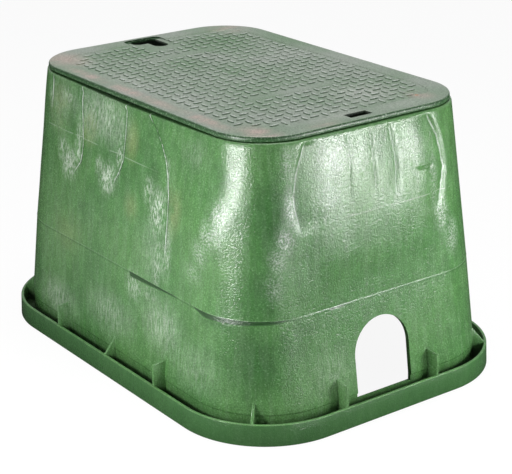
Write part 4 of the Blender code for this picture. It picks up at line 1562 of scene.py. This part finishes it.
def body_plastic():
    material, tree, shader, patterns = start_material("green_polyethylene", BODY_NOISES)
    height = coordinate(tree, "Z")
    depths, pale_line, dark_line = folds(tree)
    colour = mix(tree, ramp(tree, patterns["blotch"], 0.35, 0.65), GREEN_DEEP, GREEN)
    colour = add_layers(tree, colour, patterns, BODY_LAYERS)
    # A painted shade line and a painted highlight along each fold.
    colour = mix(tree, times(tree, dark_line, 0.55), colour, SHADE_GREEN)
    pale_line = times(tree, pale_line, ramp(tree, patterns["hatch"], 0.3, 0.55, 0.35, 0.85))
    colour = mix(tree, pale_line, colour, HIGHLIGHT_PALE)
    # A painted highlight on the step line and a painted shadow just under it.
    for level, full, gone, share, tone in STEP_GLINT_AND_SHADE:
        colour = mix(tree, band(tree, height, level, full, gone, share), colour, tone)
    colour = add_layers(tree, colour, patterns, SALT_LAYER)
    colour = mix(tree, 1.0, colour, ramp(tree, patterns["mottle"], 0.32, 0.68, 0.90, 1.12), "MULTIPLY")
    colour = mix(tree, 1.0, colour, ramp(tree, patterns["grain"], 0.30, 0.70, 0.80, 1.22), "MULTIPLY")
    from_foot = attribute(tree, "from_foot")
    # Painted shade on the outer face of the rim.
    rim = times(tree, ramp(tree, from_foot, 14.0, 14.7),
                ramp(tree, height, RIM_HEIGHT - 0.0015, RIM_HEIGHT - 0.0005, 0.75, 0))
    colour = mix(tree, rim, colour, RIM_SHADE)
    # Painted shade in the channel, darker towards its floor.
    in_channel = times(tree, ramp(tree, from_foot, -3, 0, 0, 1), ramp(tree, from_foot, 10.5, 12, 1, 0))
    channel_shade = times(tree, in_channel, ramp(tree, height, 0.010, 0.028, 0.85, 0))
    colour = mix(tree, channel_shade, colour, CHANNEL_SHADE)
    # Painted shade in the tuck under the step line.
    tucked = ramp(tree, attribute(tree, "tucked"), 0.02, 0.25)
    colour = mix(tree, times(tree, tucked, 0.92), colour, TUCK_SHADE)
    for wall, level, share, axis, start, end in WITNESS_LINES:
        line = band(tree, height, level, *WITNESS_WIDTH, share)
        line = times(tree, line, ramp(tree, patterns["patch"], 0.42, 0.52))
        line = times(tree, line, ramp(tree, coordinate(tree, axis), start, end))
        line = times(tree, line, attribute(tree, f"wall_{wall}"))
        colour = mix(tree, line, colour, PALE_MARK_AND_GLINT)
    rough = math_node(tree, "ADD", ramp(tree, patterns["blotch"], 0.3, 0.7, 0.20, 0.25),
                      times(tree, tucked, 0.1))
    normal = bump(tree, [
        (depths, 0.001, 1.0), (patterns["ripple"], 0.0006, 0.4), (attribute(tree, "gouged"), -0.0013, 1.0),
        (patterns["hairs"], 0.00014, 1.0), (patterns["coarse"], 0.00035, 1.0),
        (patterns["grain"], 0.00034, 1.0)])
    feed(tree, shader, {"Base Color": colour, "Roughness": rough, "Specular IOR Level": BODY_SHINE,
                        "Normal": normal})
    return material


# %% Lid plastic
LID_GREEN = (0.194, 0.266, 0.186)
LID_GREY = (0.270, 0.308, 0.262)
LID_FRESH_GREEN = (0.112, 0.208, 0.104)
LID_BLEACH = (0.400, 0.415, 0.380)
# Painted shade on the flanks of the tread bars.
FLANK_SHADE = (0.040, 0.095, 0.038)
LID_EDGE_GREEN = (0.018, 0.062, 0.018)
LID_SIDE_GREEN = (0.034, 0.100, 0.032)
WORN_PINK = (0.420, 0.335, 0.290)
# Wear on the ridges of the tread bars, and a painted highlight there.
BAR_WEAR_AND_GLINT = (0.500, 0.540, 0.500)
# Painted shade in the pocket and the slot.
HOLLOW_SHADE = (0.006, 0.012, 0.006)
LID_NOISES = {
    "blotch": dict(scale=14, detail=4),
    "grain": dict(scale=560, detail=2, rough=0.6),
    "fine": dict(scale=330, detail=3, rough=0.65),
    "drawn": dict(scale=1, detail=4, stretch=(60, 14, 60), rough=0.6),
    "kept": dict(scale=30, detail=3, rough=0.6),
}
LID_WEATHER = [
    ("fresh", "blotch", 0.25, 0.60, 0.35, 0.95, LID_FRESH_GREEN),
    ("bleached", "fine", 0.32, 0.62, 0.15, 0.95, LID_BLEACH),
]
LID_WORN_LAYER = [("worn", "drawn", 0.36, 0.56, 0.15, 1.0, WORN_PINK)]
# Single marks on the lid: place in mm, radius in mm, colour.
LID_MARKS = [((85, -50), 1.3, (0.010, 0.015, 0.008)), ((202, -95), 1.5, (0.020, 0.060, 0.015)),
             ((199, -99), 1.2, (0.020, 0.060, 0.015)), ((183, 96), 2.4, (0.380, 0.170, 0.080))]


def mark(tree, colour, place, radius, tone):
    """One small round mark at a place on the lid."""
    spot = (place[0] * MM, place[1] * MM, FIELD_FLOOR)
    away = vector_math(tree, "DISTANCE", object_place(tree), spot)
    return mix(tree, ramp(tree, away, radius * 0.6 * MM, radius * 1.3 * MM, 0.9, 0), colour, tone)


def lid_plastic():
    material, tree, shader, patterns = start_material("weathered_polyethylene", LID_NOISES)
    height = coordinate(tree, "Z")
    from_field = attribute(tree, "from_field")
    tread = times(tree, ramp(tree, from_field, -0.8, 0.4, 1, 0),
                  math_node(tree, "SUBTRACT", 1, attribute(tree, "bare")))
    colour = mix(tree, ramp(tree, patterns["blotch"], 0.35, 0.65), LID_GREEN, LID_GREY)
    colour = add_layers(tree, colour, patterns, LID_WEATHER)
    # Painted shade on the flanks of the tread bars.
    flank = times(tree, ramp(tree, height, FIELD_FLOOR, FIELD_FLOOR + 0.00012),
                  ramp(tree, height, FIELD_FLOOR + 0.0007, FIELD_FLOOR + 0.0011, 0.95, 0))
    flank = times(tree, flank, ramp(tree, patterns["kept"], 0.38, 0.58, 0.45, 1.0))
    colour = mix(tree, times(tree, flank, tread), colour, FLANK_SHADE)
    # The ridges of the bars: wear, and a painted highlight.
    ridge = times(tree, ramp(tree, height, FIELD_FLOOR + 0.0009, FIELD_FLOOR + 0.0012),
                  ramp(tree, patterns["fine"], 0.35, 0.6, 0.35, 1.0))
    colour = mix(tree, times(tree, ridge, tread), colour, BAR_WEAR_AND_GLINT)
    colour = add_layers(tree, colour, patterns, LID_WORN_LAYER)
    outer = ramp(tree, from_field, 10, 12)
    edge = times(tree, outer, ramp(tree, height, LID_TOP - 0.0009, LID_TOP - 0.0001, 1.0, 0.0))
    colour = mix(tree, edge, colour, LID_EDGE_GREEN)
    side = times(tree, outer, ramp(tree, height, LID_TOP - 0.0030, LID_TOP - 0.0024, 1.0, 0.0))
    colour = mix(tree, side, colour, LID_SIDE_GREEN)
    salt = times(tree, edge, ramp(tree, patterns["grain"], 0.56, 0.66, 0.0, 0.25))
    colour = mix(tree, salt, colour, PALE_MARK_AND_GLINT)
    # Painted shade deep in the pocket and the slot, darker with depth.
    colour = mix(tree, ramp(tree, attribute(tree, "deep"), 0.02, 0.35), colour, HOLLOW_SHADE)
    for place, radius, tone in LID_MARKS:
        colour = mark(tree, colour, place, radius, tone)
    colour = mix(tree, 1.0, colour, ramp(tree, patterns["grain"], 0.28, 0.72, 0.66, 1.34), "MULTIPLY")
    rough = ramp(tree, patterns["blotch"], 0.3, 0.7, 0.34, 0.46)
    normal = bump(tree, [(patterns["drawn"], 0.0004, 0.5), (patterns["fine"], 0.00030, 0.8),
                         (patterns["grain"], 0.00018, 0.8)])
    feed(tree, shader, {"Base Color": colour, "Roughness": rough, "Normal": normal})
    return material


body.data.materials.clear()
body.data.materials.append(body_plastic())
lid.data.materials.clear()
lid.data.materials.append(lid_plastic())
print("materials:", body.data.materials[0].name, lid.data.materials[0].name)

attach(body, "root")
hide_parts("box_body")
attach(lid, "root")
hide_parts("lid")
